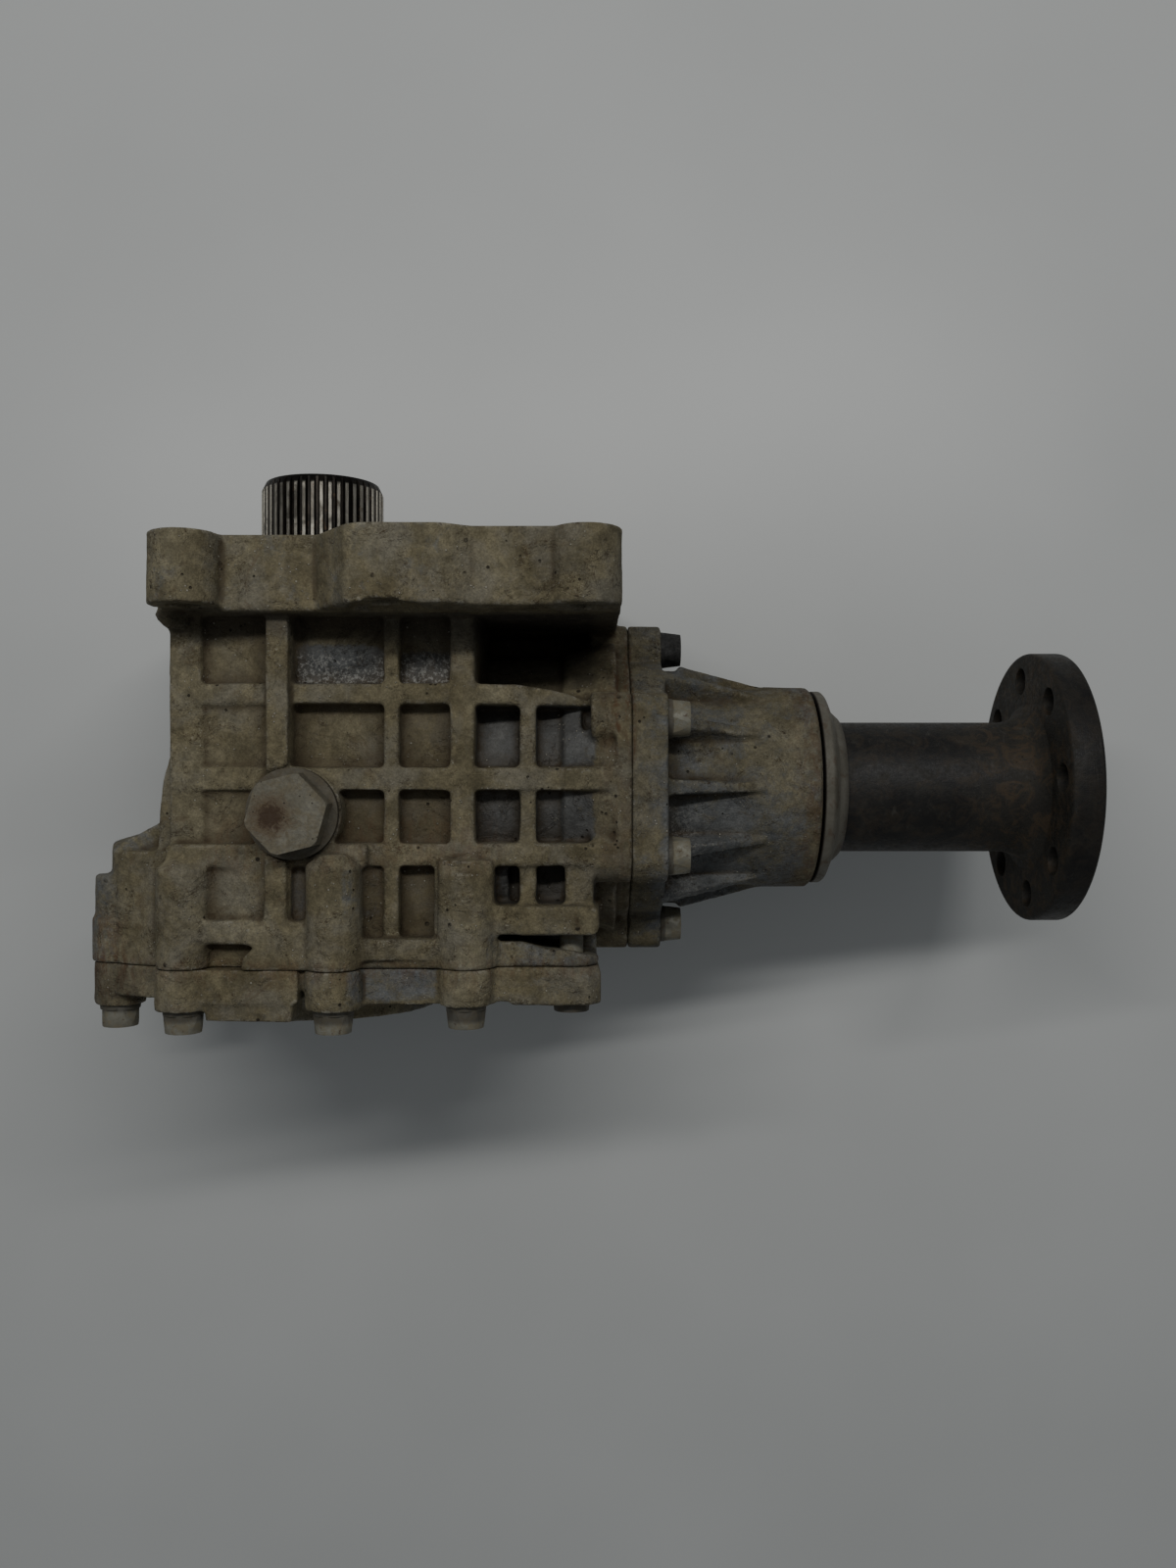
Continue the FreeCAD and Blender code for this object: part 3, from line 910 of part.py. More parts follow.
# ================================================================ write out
doc.recompute()
for place, make in LATER:
    label = NODES[place][1]
    made = make()
    made.Label = label
    NODES[place] = (made, label)
doc.recompute()
turned_flange = doc.getObject("flange_body_turned").Shape.Volume
if flange_body.Shape.Volume > turned_flange - 5000:
    raise ValueError("the flange's bolt holes cut nothing")
bad = []
for o in doc.Objects:
    if "Invalid" in o.State or "Error" in o.State:
        bad.append(o.Name + " " + str(o.State))
for o, label in NODES:
    s = o.Shape
    if s.isNull() or not s.isValid():
        bad.append(label + " shape")
    if s.Volume <= 0 or len(s.Solids) < 1:
        bad.append(label + " has no solid")
if bad:
    raise ValueError("; ".join(bad))
os.makedirs("parts", exist_ok=True)
for o, label in NODES:
    if o.Label != label:
        raise ValueError("label " + o.Label)
    o.Shape.exportStep("parts/%s.step" % label)
    print("%-26s solids %3d faces %5d volume %10.0f" % (label, len(o.Shape.Solids), len(o.Shape.Faces),
                                                       o.Shape.Volume))
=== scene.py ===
import json
import math

import bmesh
import bpy
import numpy as np
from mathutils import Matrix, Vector, noise


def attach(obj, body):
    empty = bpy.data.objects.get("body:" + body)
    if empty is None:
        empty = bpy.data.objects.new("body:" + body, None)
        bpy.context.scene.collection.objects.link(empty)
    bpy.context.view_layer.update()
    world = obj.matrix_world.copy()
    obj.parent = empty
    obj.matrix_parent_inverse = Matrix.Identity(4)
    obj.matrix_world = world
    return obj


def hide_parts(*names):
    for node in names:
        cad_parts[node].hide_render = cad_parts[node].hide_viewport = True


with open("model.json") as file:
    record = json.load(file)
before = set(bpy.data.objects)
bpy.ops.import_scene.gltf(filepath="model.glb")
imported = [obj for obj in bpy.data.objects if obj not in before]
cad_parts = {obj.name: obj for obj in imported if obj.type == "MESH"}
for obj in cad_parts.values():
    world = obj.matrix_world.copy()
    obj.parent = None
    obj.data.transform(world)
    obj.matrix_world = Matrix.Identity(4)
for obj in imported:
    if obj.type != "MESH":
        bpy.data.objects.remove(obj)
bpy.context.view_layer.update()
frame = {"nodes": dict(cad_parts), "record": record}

NODES = frame["nodes"]
MM = 0.001
AX_Z = 0.015          # height of the output axis above the input axis


# ------------------------------------------------------------ shader helpers
class Tree:
    """Small helper to write node trees as nested calls."""

    def __init__(self, name):
        self.mat = bpy.data.materials.new(name)
        self.mat.use_nodes = True
        self.nt = self.mat.node_tree
        self.nt.nodes.clear()
        self.out = self.nt.nodes.new("ShaderNodeOutputMaterial")
        self.bsdf = self.nt.nodes.new("ShaderNodeBsdfPrincipled")
        self.nt.links.new(self.bsdf.outputs[0], self.out.inputs[0])
        tc = self.nt.nodes.new("ShaderNodeTexCoord")
        mp = self.nt.nodes.new("ShaderNodeMapping")
        mp.inputs["Scale"].default_value = (1000, 1000, 1000)
        self.nt.links.new(tc.outputs["Object"], mp.inputs[0])
        self.mm = mp.outputs[0]                     # position in millimetres

    def put(self, socket, value):
        if isinstance(value, (int, float)):
            socket.default_value = value
        elif isinstance(value, tuple):
            socket.default_value = value if len(value) == len(socket.default_value) else (*value, 1.0)
        else:
            self.nt.links.new(value, socket)

    def noise(self, size, detail=3.0, rough=0.55, warp=0.0, stretch=None, seed=0.0):
        """Noise whose blobs are about size millimetres."""
        n = self.nt.nodes.new("ShaderNodeTexNoise")
        n.noise_dimensions = "3D"
        v = self.mm
        if stretch or seed:
            m = self.nt.nodes.new("ShaderNodeMapping")
            if stretch:
                m.inputs["Scale"].default_value = stretch
            m.inputs["Location"].default_value = (seed * 13.1, seed * 7.7, seed * 3.3)
            self.nt.links.new(v, m.inputs[0])
            v = m.outputs[0]
        self.nt.links.new(v, n.inputs["Vector"])
        n.inputs["Scale"].default_value = 1.0 / size
        n.inputs["Detail"].default_value = detail
        n.inputs["Roughness"].default_value = rough
        n.inputs["Distortion"].default_value = warp
        return n.outputs["Fac"]

    def cells(self, size, seed=0.0, smooth=False):
        n = self.nt.nodes.new("ShaderNodeTexVoronoi")
        m = self.nt.nodes.new("ShaderNodeMapping")
        m.inputs["Location"].default_value = (seed * 5.1, seed * 9.7, seed * 2.3)
        self.nt.links.new(self.mm, m.inputs[0])
        self.nt.links.new(m.outputs[0], n.inputs["Vector"])
        n.inputs["Scale"].default_value = 1.0 / size
        if smooth:
            n.feature = "SMOOTH_F1"
        return n.outputs["Distance"]

    def step(self, fac, lo, hi, a=0.0, b=1.0):
        """Smooth ramp from a to b while fac goes from lo to hi."""
        n = self.nt.nodes.new("ShaderNodeMapRange")
        n.interpolation_type = "SMOOTHSTEP"
        self.put(n.inputs["Value"], fac)
        n.inputs["From Min"].default_value = lo
        n.inputs["From Max"].default_value = hi
        n.inputs["To Min"].default_value = a
        n.inputs["To Max"].default_value = b
        return n.outputs["Result"]

    def do(self, op, a, b=0.0, c=0.0):
        n = self.nt.nodes.new("ShaderNodeMath")
        n.operation = op
        self.put(n.inputs[0], a)
        self.put(n.inputs[1], b)
        if op in ("MULTIPLY_ADD", "COMPARE"):
            self.put(n.inputs[2], c)
        return n.outputs[0]

    def mix(self, fac, a, b, mode="MIX"):
        n = self.nt.nodes.new("ShaderNodeMix")
        n.data_type = "RGBA"
        n.blend_type = mode
        n.clamp_factor = True
        self.put(n.inputs[0], fac)
        self.put(n.inputs[6], a)
        self.put(n.inputs[7], b)
        return n.outputs[2]

    def shade(self, color, fac, lo, hi, at=(0.32, 0.68)):
        """Colour made darker and lighter, from lo to hi, by a 0..1 pattern."""
        n = self.nt.nodes.new("ShaderNodeVectorMath")
        n.operation = "SCALE"
        self.put(n.inputs[0], color)
        self.put(n.inputs["Scale"], self.step(fac, at[0], at[1], lo, hi))
        return n.outputs[0]

    def blend(self, fac, a, b):
        n = self.nt.nodes.new("ShaderNodeMix")
        n.data_type = "FLOAT"
        self.put(n.inputs[0], fac)
        self.put(n.inputs[2], a)
        self.put(n.inputs[3], b)
        return n.outputs[0]

    def ramp(self, fac, stops):
        n = self.nt.nodes.new("ShaderNodeValToRGB")
        self.put(n.inputs[0], fac)
        e = n.color_ramp.elements
        while len(e) < len(stops):
            e.new(0.5)
        for el, (p, c) in zip(e, stops):
            el.position = p
            el.color = (*c, 1.0)
        return n.outputs[0]

    def attr(self, name):
        n = self.nt.nodes.new("ShaderNodeAttribute")
        n.attribute_name = name
        return n.outputs["Fac"]

    def xyz(self):
        n = self.nt.nodes.new("ShaderNodeSeparateXYZ")
        self.nt.links.new(self.mm, n.inputs[0])
        return n.outputs

    def up(self, axis):
        """How much the surface faces an axis of the object, from -1 to 1."""
        g = self.nt.nodes.new("ShaderNodeTexCoord")
        n = self.nt.nodes.new("ShaderNodeSeparateXYZ")
        self.nt.links.new(g.outputs["Normal"], n.inputs[0])
        return n.outputs[axis]

    def radius(self, a, b, ca=0.0, cb=0.0):
        return self.do("SQRT", self.do("ADD", self.do("POWER", self.do("SUBTRACT", a, ca), 2.0),
                                       self.do("POWER", self.do("SUBTRACT", b, cb), 2.0)))

    def edges(self, lo, hi):
        g = self.nt.nodes.new("ShaderNodeNewGeometry")
        return self.step(g.outputs["Pointiness"], lo, hi)

    def bump(self, height, depth, after=None, strength=1.0):
        """Bump of depth millimetres."""
        n = self.nt.nodes.new("ShaderNodeBump")
        n.inputs["Strength"].default_value = strength
        n.inputs["Distance"].default_value = depth * MM
        self.put(n.inputs["Height"], height)
        if after is not None:
            self.nt.links.new(after, n.inputs["Normal"])
        return n.outputs[0]

    def finish(self, color, rough, metal=0.0, normal=None, **fixed):
        self.put(self.bsdf.inputs["Base Color"], color)
        self.put(self.bsdf.inputs["Roughness"], rough)
        self.put(self.bsdf.inputs["Metallic"], metal)
        if normal is not None:
            self.nt.links.new(normal, self.bsdf.inputs["Normal"])
        for k, v in fixed.items():
            self.bsdf.inputs[k.replace("_", " ")].default_value = v
        return self.mat


# ---------------------------------------------------------------- materials
def cast_material():
    """Sand-grained aluminium casting under dried road mud, with duller grey
    metal where little splashed, brown stains at the joints and dark specks."""
    t = Tree("cast_aluminium_mud")
    clean, stain, dark, chip = t.attr("clean"), t.attr("stain"), t.attr("dark"), t.attr("chip")
    cave = t.attr("cave")
    big, mid = t.noise(36, 4, 0.62, 0.5), t.noise(9, 5, 0.70, 0.6, seed=2)
    small, grit = t.noise(2.4, 4, 0.72, 0.3, seed=4), t.noise(0.62, 2, 0.6, seed=6)
    metal = t.ramp(t.noise(12, 5, 0.66, seed=7),
                   [(0.32, (0.092, 0.097, 0.098)), (0.52, (0.138, 0.142, 0.140)), (0.72, (0.200, 0.202, 0.194))])
    mud = t.ramp(big, [(0.32, (0.126, 0.107, 0.062)), (0.46, (0.158, 0.137, 0.083)), (0.58, (0.180, 0.159, 0.101)),
                       (0.72, (0.206, 0.186, 0.128))])
    mud = t.shade(mud, mid, 0.72, 1.24)
    # greyer dust lies on the mud in places
    mud = t.mix(t.step(t.noise(21, 5, 0.68, 0.4, seed=13), 0.44, 0.66, 0.0, 0.62), mud, (0.186, 0.174, 0.140))
    # how much mud covers the metal: patchy, thin on clean places
    cover = t.do("ADD", t.do("MULTIPLY", t.noise(11, 5, 0.72, 0.6, seed=9), 1.0),
                 t.do("MULTIPLY", t.noise(2.1, 4, 0.74, seed=11), 0.42))
    cover = t.do("SUBTRACT", cover, t.do("MULTIPLY", clean, 0.66))
    cover = t.step(cover, 0.16, 0.52)
    col = t.mix(cover, metal, mud)
    col = t.shade(col, small, 0.84, 1.16)
    col = t.shade(col, grit, 0.86, 1.15)
    # crusts: brown crumbs with pale grit between them
    crust = t.step(t.noise(13, 5, 0.75, 1.1, seed=19), 0.53, 0.62)
    fleck = t.noise(1.25, 4, 0.82, 0.4, seed=20)
    col = t.mix(t.do("MULTIPLY", crust, t.step(fleck, 0.53, 0.60, 0.0, 0.78)), col, (0.060, 0.040, 0.022))
    col = t.mix(t.do("MULTIPLY", crust, t.step(fleck, 0.42, 0.36, 0.0, 0.62)), col, (0.350, 0.325, 0.262))
    # brown washes
    blot = t.step(t.noise(17, 5, 0.76, 1.4, seed=43), 0.57, 0.68, 0.0, 0.44)
    col = t.mix(blot, col, (0.108, 0.078, 0.044))
    # rubbed edges: pale metal and dark crumbs by turns
    edge = t.edges(0.512, 0.55)
    worn = t.do("MULTIPLY", edge, t.step(t.noise(3.6, 4, 0.75, seed=15), 0.50, 0.60))
    col = t.mix(t.do("MULTIPLY", worn, 0.55), col, (0.330, 0.315, 0.270))
    tar = t.do("MULTIPLY", edge, t.step(t.noise(2.2, 4, 0.8, seed=16), 0.545, 0.60))
    col = t.mix(t.do("MULTIPLY", tar, 0.75), col, (0.040, 0.028, 0.018))
    # dirt held in the inner corners, darkened further as painted shade in creases and hollows
    nook_dirt_and_shade = t.do("ADD", t.do("MULTIPLY", t.edges(0.492, 0.455), 0.45), t.step(cave, 0.20, 0.85, 0.0, 0.62))
    nook_dirt_and_shade = t.do("MULTIPLY", nook_dirt_and_shade, t.step(small, 0.30, 0.62, 0.55, 1.0))
    col = t.mix(nook_dirt_and_shade, col, (0.070, 0.053, 0.032))
    # rust-brown streaks
    streak = t.do("MULTIPLY", stain, t.step(t.noise(2.2, 4, 0.72, 0.5, (1.0, 0.30, 0.5), seed=17), 0.42, 0.60))
    col = t.mix(t.do("MULTIPLY", streak, 0.80), col, (0.118, 0.060, 0.030))
    # painted shade, with some grime under the slab: the dark mark darkens the band under the slab, the deep recess
    # beside it and the pockets right of the long rib; on the side cover a darker patch at its left end
    col = t.mix(t.do("MULTIPLY", dark, t.step(t.noise(6, 4, 0.7, seed=21), 0.25, 0.6, 0.60, 1.0)), col,
                (0.046, 0.039, 0.031))
    # the colour is a little lighter at the left and darker towards the pinion housing (+X)
    col = t.shade(col, t.xyz()[0], 1.06, 0.83, at=(74.0, 124.0))
    # specks: dark pits and pale crumbs
    pit = t.do("MULTIPLY", t.step(t.cells(3.8, 1), 0.15, 0.09), t.step(t.noise(15, 4, 0.7, seed=23), 0.53, 0.60))
    col = t.mix(t.do("MULTIPLY", pit, 0.85), col, (0.024, 0.018, 0.012))
    pit2 = t.do("MULTIPLY", t.step(t.cells(9.1, 3), 0.11, 0.07), t.step(mid, 0.42, 0.55))
    col = t.mix(t.do("MULTIPLY", pit2, 0.88), col, (0.016, 0.012, 0.009))
    crumb = t.do("MULTIPLY", t.step(t.cells(2.1, 5), 0.19, 0.12), t.step(t.noise(9, 4, 0.7, seed=25), 0.50, 0.60))
    col = t.mix(t.do("MULTIPLY", crumb, 0.72), col, (0.420, 0.395, 0.330))
    pale = t.do("MULTIPLY", chip, t.step(t.noise(1.4, 4, 0.8, seed=26), 0.50, 0.58))
    col = t.mix(pale, col, (0.420, 0.415, 0.385))
    grain = t.noise(0.60, 3, 0.75, seed=27)
    lumps = t.noise(2.8, 5, 0.70, seed=29)
    n1 = t.bump(lumps, 0.50)
    n2 = t.bump(t.do("MULTIPLY", cover, t.noise(1.2, 4, 0.75, seed=31)), 0.28, n1)
    n3 = t.bump(grain, 0.10, n2)
    n4 = t.bump(t.do("SUBTRACT", t.do("ADD", crumb, t.do("MULTIPLY", crust, fleck)), t.do("MULTIPLY", pit, 1.4)),
                0.40, n3)
    rough = t.blend(cover, 0.58, 0.95)
    return t.finish(col, rough, t.blend(cover, 0.22, 0.0), n4, Specular_IOR_Level=0.28)


def bolt_material():
    """Zinc-plated bolts gone dull, with patches of mud and painted shade at the collar under each head."""
    t = Tree("plated_steel_dusty")
    p = t.xyz()
    big, fine = t.noise(6, 4, 0.6, 0.3), t.noise(0.9, 3, 0.65, seed=3)
    col = t.ramp(big, [(0.32, (0.150, 0.142, 0.110)), (0.50, (0.205, 0.198, 0.158)), (0.70, (0.275, 0.268, 0.225))])
    mud = t.step(t.noise(3.2, 5, 0.7, 0.5, seed=5), 0.44, 0.58)
    col = t.mix(t.do("MULTIPLY", mud, 0.75), col, (0.172, 0.150, 0.098))
    col = t.mix(t.step(t.noise(1.7, 4, 0.75, seed=8), 0.60, 0.68, 0.0, 0.8), col, (0.075, 0.040, 0.022))
    # painted shade: the collar under each head is painted dark
    collar_shade_cover = t.do("MULTIPLY", t.step(p[1], -78.2, -76.4), t.step(p[1], -70.0, -74.0))
    collar_shade_housing = t.do("MULTIPLY", t.step(p[0], 132.3, 131.5), t.step(p[0], 129.0, 130.4))
    col = t.mix(t.do("MULTIPLY", t.do("ADD", collar_shade_cover, collar_shade_housing), 0.62), col, (0.040, 0.034, 0.028))
    # one replaced bolt is black
    black = t.do("MULTIPLY", t.step(p[1], 44.0, 46.0), t.step(p[0], 127.0, 129.0))
    col = t.mix(black, col, t.ramp(fine, [(0.35, (0.016, 0.016, 0.016)), (0.7, (0.045, 0.043, 0.040))]))
    n1 = t.bump(t.noise(2.0, 4, 0.6, seed=10), 0.12)
    n2 = t.bump(fine, 0.06, n1)
    return t.finish(col, t.blend(mud, 0.60, 0.90), t.blend(mud, 0.25, 0.0), n2)


def plug_material():
    t = Tree("plug_steel_rusty")
    p = t.xyz()
    big, fine = t.noise(9, 4, 0.6, 0.4), t.noise(1.0, 4, 0.65, seed=3)
    col = t.ramp(big, [(0.32, (0.130, 0.118, 0.086)), (0.50, (0.168, 0.156, 0.118)), (0.68, (0.212, 0.200, 0.158))])
    col = t.mix(t.step(t.noise(4.0, 5, 0.7, 0.4, seed=5), 0.44, 0.60, 0.0, 0.75), col, (0.152, 0.130, 0.084))
    col = t.shade(col, fine, 0.78, 1.20)
    # rust bloom left of the middle of the head
    r = t.radius(p[0], p[1], 1.4, -9.4)
    wob = t.do("ADD", r, t.do("MULTIPLY", t.noise(2.3, 5, 0.8, 1.4, seed=7), 12.0))
    bloom = t.do("MULTIPLY", t.step(wob, 11.8, 8.6), t.step(p[2], 86.0, 87.0))
    halo = t.do("MULTIPLY", t.step(wob, 15.8, 9.4), t.step(p[2], 85.0, 87.0))
    col = t.mix(t.do("MULTIPLY", halo, 0.60), col, (0.145, 0.096, 0.050))
    col = t.mix(t.do("MULTIPLY", bloom, 0.88), col, (0.052, 0.028, 0.014))
    # darker in the gap under the head
    low = t.step(p[2], 81.0, 79.0)
    col = t.mix(t.do("MULTIPLY", low, 0.8), col, (0.060, 0.048, 0.034))
    pit = t.step(t.cells(2.6, 2), 0.16, 0.10)
    col = t.mix(t.do("MULTIPLY", pit, t.step(fine, 0.45, 0.6)), col, (0.035, 0.028, 0.02))
    n1 = t.bump(t.do("ADD", t.noise(1.6, 4, 0.65, seed=10), t.do("MULTIPLY", halo, t.noise(0.7, 3, 0.7))), 0.30)
    n2 = t.bump(fine, 0.10, n1)
    return t.finish(col, t.step(fine, 0.3, 0.7, 0.66, 0.92), 0.06, n2)


def shaft_material():
    """Splined input shaft: bright rubbed tooth tops, black oil between."""
    t = Tree("shaft_steel_oily")
    p = t.xyz()
    r = t.radius(p[0], p[2])
    top = t.do("MULTIPLY", t.step(r, 22.80, 23.15), t.step(p[1], 82.0, 84.5))
    lines = t.noise(1.1, 4, 0.6, 0.0, (6.0, 0.12, 6.0), seed=2)
    big = t.noise(10, 4, 0.6, 0.6, seed=4)
    col = t.ramp(big, [(0.34, (0.006, 0.005, 0.004)), (0.52, (0.011, 0.009, 0.007)), (0.70, (0.026, 0.021, 0.016))])
    tipc = t.ramp(lines, [(0.30, (0.16, 0.145, 0.115)), (0.50, (0.30, 0.28, 0.235)), (0.72, (0.50, 0.48, 0.43))])
    patch = t.step(t.noise(14, 4, 0.65, 0.9, seed=6), 0.38, 0.52)
    col = t.mix(t.do("MULTIPLY", top, t.do("ADD", t.do("MULTIPLY", patch, 0.65), 0.30)), col, tipc)
    col = t.mix(t.step(t.noise(5, 5, 0.7, 0.5, seed=8), 0.58, 0.68, 0.0, 0.55), col, (0.085, 0.055, 0.030))
    n1 = t.bump(lines, 0.05)
    n2 = t.bump(t.noise(1.3, 4, 0.7, seed=9), 0.06, n1)
    return t.finish(col, t.step(lines, 0.3, 0.7, 0.30, 0.52), 0.75, n2)


def steel_material(name, dark, light, rough, grind=(1.0, 1.0, 0.08), metal=0.95):
    t = Tree(name)
    lines = t.noise(0.35, 3, 0.6, 0.0, grind, seed=1)
    big = t.noise(8, 4, 0.6, 0.5, seed=3)
    mid = tuple((a + b) / 2 for a, b in zip(dark, light))
    col = t.ramp(big, [(0.34, dark), (0.52, mid), (0.70, light)])
    col = t.mix(t.step(lines, 0.40, 0.65, 0.0, 0.22), col, light)
    oil = t.step(t.noise(13, 4, 0.6, 0.8, seed=5), 0.54, 0.64)
    col = t.mix(t.do("MULTIPLY", oil, 0.45), col, (0.07, 0.052, 0.03))
    n1 = t.bump(lines, 0.015)
    n2 = t.bump(t.noise(1.5, 3, 0.6, seed=7), 0.02, n1)
    return t.finish(col, t.blend(oil, rough, rough * 0.7), metal, n2)


def black_material():
    """Companion flange: black coating, dusty, with brown rust freckles
    towards the disc and a rubbed rim."""
    t = Tree("black_steel_worn")
    p = t.xyz()
    r = t.radius(p[1], p[2], 0.0, 15.0)
    big, mid, fine = t.noise(24, 5, 0.65, 0.6), t.noise(6, 5, 0.7, 0.5, seed=2), t.noise(1.2, 4, 0.7, seed=4)
    col = t.ramp(big, [(0.32, (0.0085, 0.0085, 0.0085)), (0.50, (0.0145, 0.014, 0.0133)), (0.70, (0.025, 0.024, 0.0215))])
    # dust film, heavier where the tube meets the disc
    near = t.do("MULTIPLY", t.step(p[0], 232.0, 262.0), t.step(p[0], 271.0, 266.0))
    film = t.do("ADD", t.step(mid, 0.44, 0.70, 0.0, 0.50), t.do("MULTIPLY", near, 0.45))
    film = t.do("MULTIPLY", film, t.step(fine, 0.25, 0.6, 0.5, 1.0))
    col = t.mix(film, col, (0.050, 0.045, 0.035))
    rust = t.do("MULTIPLY", t.do("ADD", t.do("MULTIPLY", near, 0.75), 0.30),
                t.step(t.noise(7.5, 5, 0.75, 1.0, seed=6), 0.46, 0.62))
    col = t.mix(t.do("MULTIPLY", rust, 0.75), col, (0.072, 0.050, 0.029))
    grey = t.step(t.noise(4.2, 5, 0.75, 0.8, (1.0, 0.6, 0.6), seed=8), 0.58, 0.70, 0.0, 0.55)
    col = t.mix(grey, col, (0.066, 0.063, 0.055))
    pits = t.do("MULTIPLY", t.step(t.cells(2.2, 2), 0.20, 0.10), t.step(mid, 0.42, 0.56))
    col = t.mix(t.do("MULTIPLY", pits, 0.6), col, (0.012, 0.011, 0.010))
    # fingerprints of light dust on the disc's rear face
    disc = t.do("MULTIPLY", t.step(p[0], 267.0, 268.9), t.step(t.noise(9, 5, 0.7, 0.7, seed=12), 0.50, 0.66))
    col = t.mix(t.do("MULTIPLY", disc, 0.35), col, (0.055, 0.048, 0.036))
    rim = t.do("MULTIPLY", t.step(r, 49.3, 49.9), t.step(t.noise(11, 4, 0.7, 0.4, seed=14), 0.42, 0.58))
    col = t.mix(t.do("MULTIPLY", rim, 0.22), col, (0.050, 0.041, 0.029))
    col = t.shade(col, r, 1.0, 0.62, at=(48.6, 49.8))
    turn = t.noise(0.45, 3, 0.6, 0.0, (1.0, 0.03, 0.03), seed=16)
    n1 = t.bump(t.noise(2.2, 5, 0.7, seed=18), 0.16)
    n2 = t.bump(t.do("ADD", fine, t.do("MULTIPLY", turn, 0.6)), 0.10, n1)
    rough = t.do("ADD", t.step(fine, 0.3, 0.7, 0.42, 0.56), t.do("MULTIPLY", film, 0.40))
    return t.finish(col, rough, 0.0, n2, Specular_IOR_Level=0.30)


def deflector_material():
    t = Tree("deflector_dusty")
    p = t.xyz()
    big, fine = t.noise(12, 5, 0.65, 0.5), t.noise(1.0, 4, 0.7, seed=3)
    col = t.ramp(big, [(0.32, (0.100, 0.092, 0.070)), (0.50, (0.135, 0.127, 0.102)), (0.70, (0.175, 0.168, 0.142))])
    col = t.mix(t.step(t.noise(5, 5, 0.7, 0.6, seed=5), 0.52, 0.64, 0.0, 0.6), col, (0.090, 0.062, 0.038))
    edge = t.do("MULTIPLY", t.step(p[0], 194.0, 196.0), t.step(fine, 0.3, 0.6, 0.5, 1.0))
    col = t.mix(t.do("MULTIPLY", edge, 0.5), col, (0.060, 0.052, 0.042))
    col = t.mix(t.step(p[0], 187.0, 186.4, 0.0, 0.8), col, (0.030, 0.024, 0.018))
    n1 = t.bump(t.noise(2.0, 4, 0.7, seed=8), 0.14)
    n2 = t.bump(fine, 0.08, n1)
    return t.finish(col, t.step(fine, 0.3, 0.7, 0.60, 0.85), 0.1, n2)


def rubber_material():
    t = Tree("seal_rubber_oily")
    fine = t.noise(0.8, 4, 0.65)
    col = t.ramp(t.noise(5, 4, 0.6, 0.4, seed=2), [(0.35, (0.012, 0.011, 0.011)), (0.55, (0.022, 0.020, 0.018)),
                                                   (0.72, (0.050, 0.042, 0.030))])
    return t.finish(col, t.step(fine, 0.3, 0.7, 0.35, 0.60), 0.0, t.bump(fine, 0.05))


def vent_material():
    t = Tree("vent_passivated")
    fine = t.noise(0.9, 4, 0.65)
    col = t.ramp(t.noise(4, 4, 0.6, 0.4, seed=2), [(0.35, (0.16, 0.125, 0.065)), (0.52, (0.25, 0.21, 0.12)),
                                                   (0.70, (0.32, 0.29, 0.20))])
    mud = t.step(t.noise(3.0, 5, 0.7, 0.5, seed=5), 0.46, 0.60)
    col = t.mix(t.do("MULTIPLY", mud, 0.8), col, (0.150, 0.125, 0.085))
    return t.finish(col, t.blend(mud, 0.42, 0.85), t.blend(mud, 0.7, 0.0), t.bump(fine, 0.08))


MAT = {
    "cast_aluminium": cast_material(),
    "plated_steel": bolt_material(),
    "plug_steel": plug_material(),
    "seal_metal": steel_material("seal_washer_metal", (0.16, 0.14, 0.11), (0.34, 0.32, 0.28), 0.5),
    "shaft_steel": shaft_material(),
    "gear_steel": steel_material("gear_steel_lapped", (0.16, 0.16, 0.165), (0.33, 0.33, 0.34), 0.32),
    "bearing_steel": steel_material("bearing_steel_ground", (0.38, 0.39, 0.40), (0.60, 0.61, 0.62), 0.16),
    "cage_steel": steel_material("cage_steel_pressed", (0.22, 0.22, 0.22), (0.38, 0.38, 0.38), 0.36, (1, 1, 1)),
    "black_steel": black_material(),
    "deflector_steel": deflector_material(),
    "seal_rubber": rubber_material(),
    "vent_steel": vent_material(),
}
SLOT = {s["node"]: s["material_slot"] for s in frame["record"]["subparts"]}
for name, obj in NODES.items():
    obj.data.materials.clear()
    obj.data.materials.append(MAT[SLOT[name]])


# ----------------------------------------------------------------- castings
def soft(v, lo, hi, w=1.2):
    """1 inside lo..hi, falling to 0 over w millimetres outside."""
    return np.clip(np.minimum(v - lo, hi - v) / w + 1.0, 0.0, 1.0)


def fine_noise(co, size, seed, octaves=3):
    out = np.empty(len(co))
    off = Vector((seed * 17.3, seed * 5.9, seed * 11.1))
    k = 1.0 / size
    for i, c in enumerate(co):
        out[i] = noise.fractal(Vector((c[0] * k, c[1] * k, c[2] * k)) + off, 0.9, 2.0, octaves)
    return out


def cave(mesh, co, nr):
    """How deep each point lies in an inner corner, over a few millimetres."""
    n = len(co)
    e = np.empty(len(mesh.edges) * 2, dtype=np.int64)
    mesh.edges.foreach_get("vertices", e)
    a, b = e[0::2], e[1::2]
    deg = np.maximum(np.bincount(e, minlength=n), 1).astype(float)
    q = co.copy()
    for _ in range(60):
        q = np.stack([(np.bincount(a, q[b, k], n) + np.bincount(b, q[a, k], n)) / deg for k in range(3)], axis=1)
    return np.clip(((q - co) * nr).sum(axis=1) / 1.6, -1, 1)


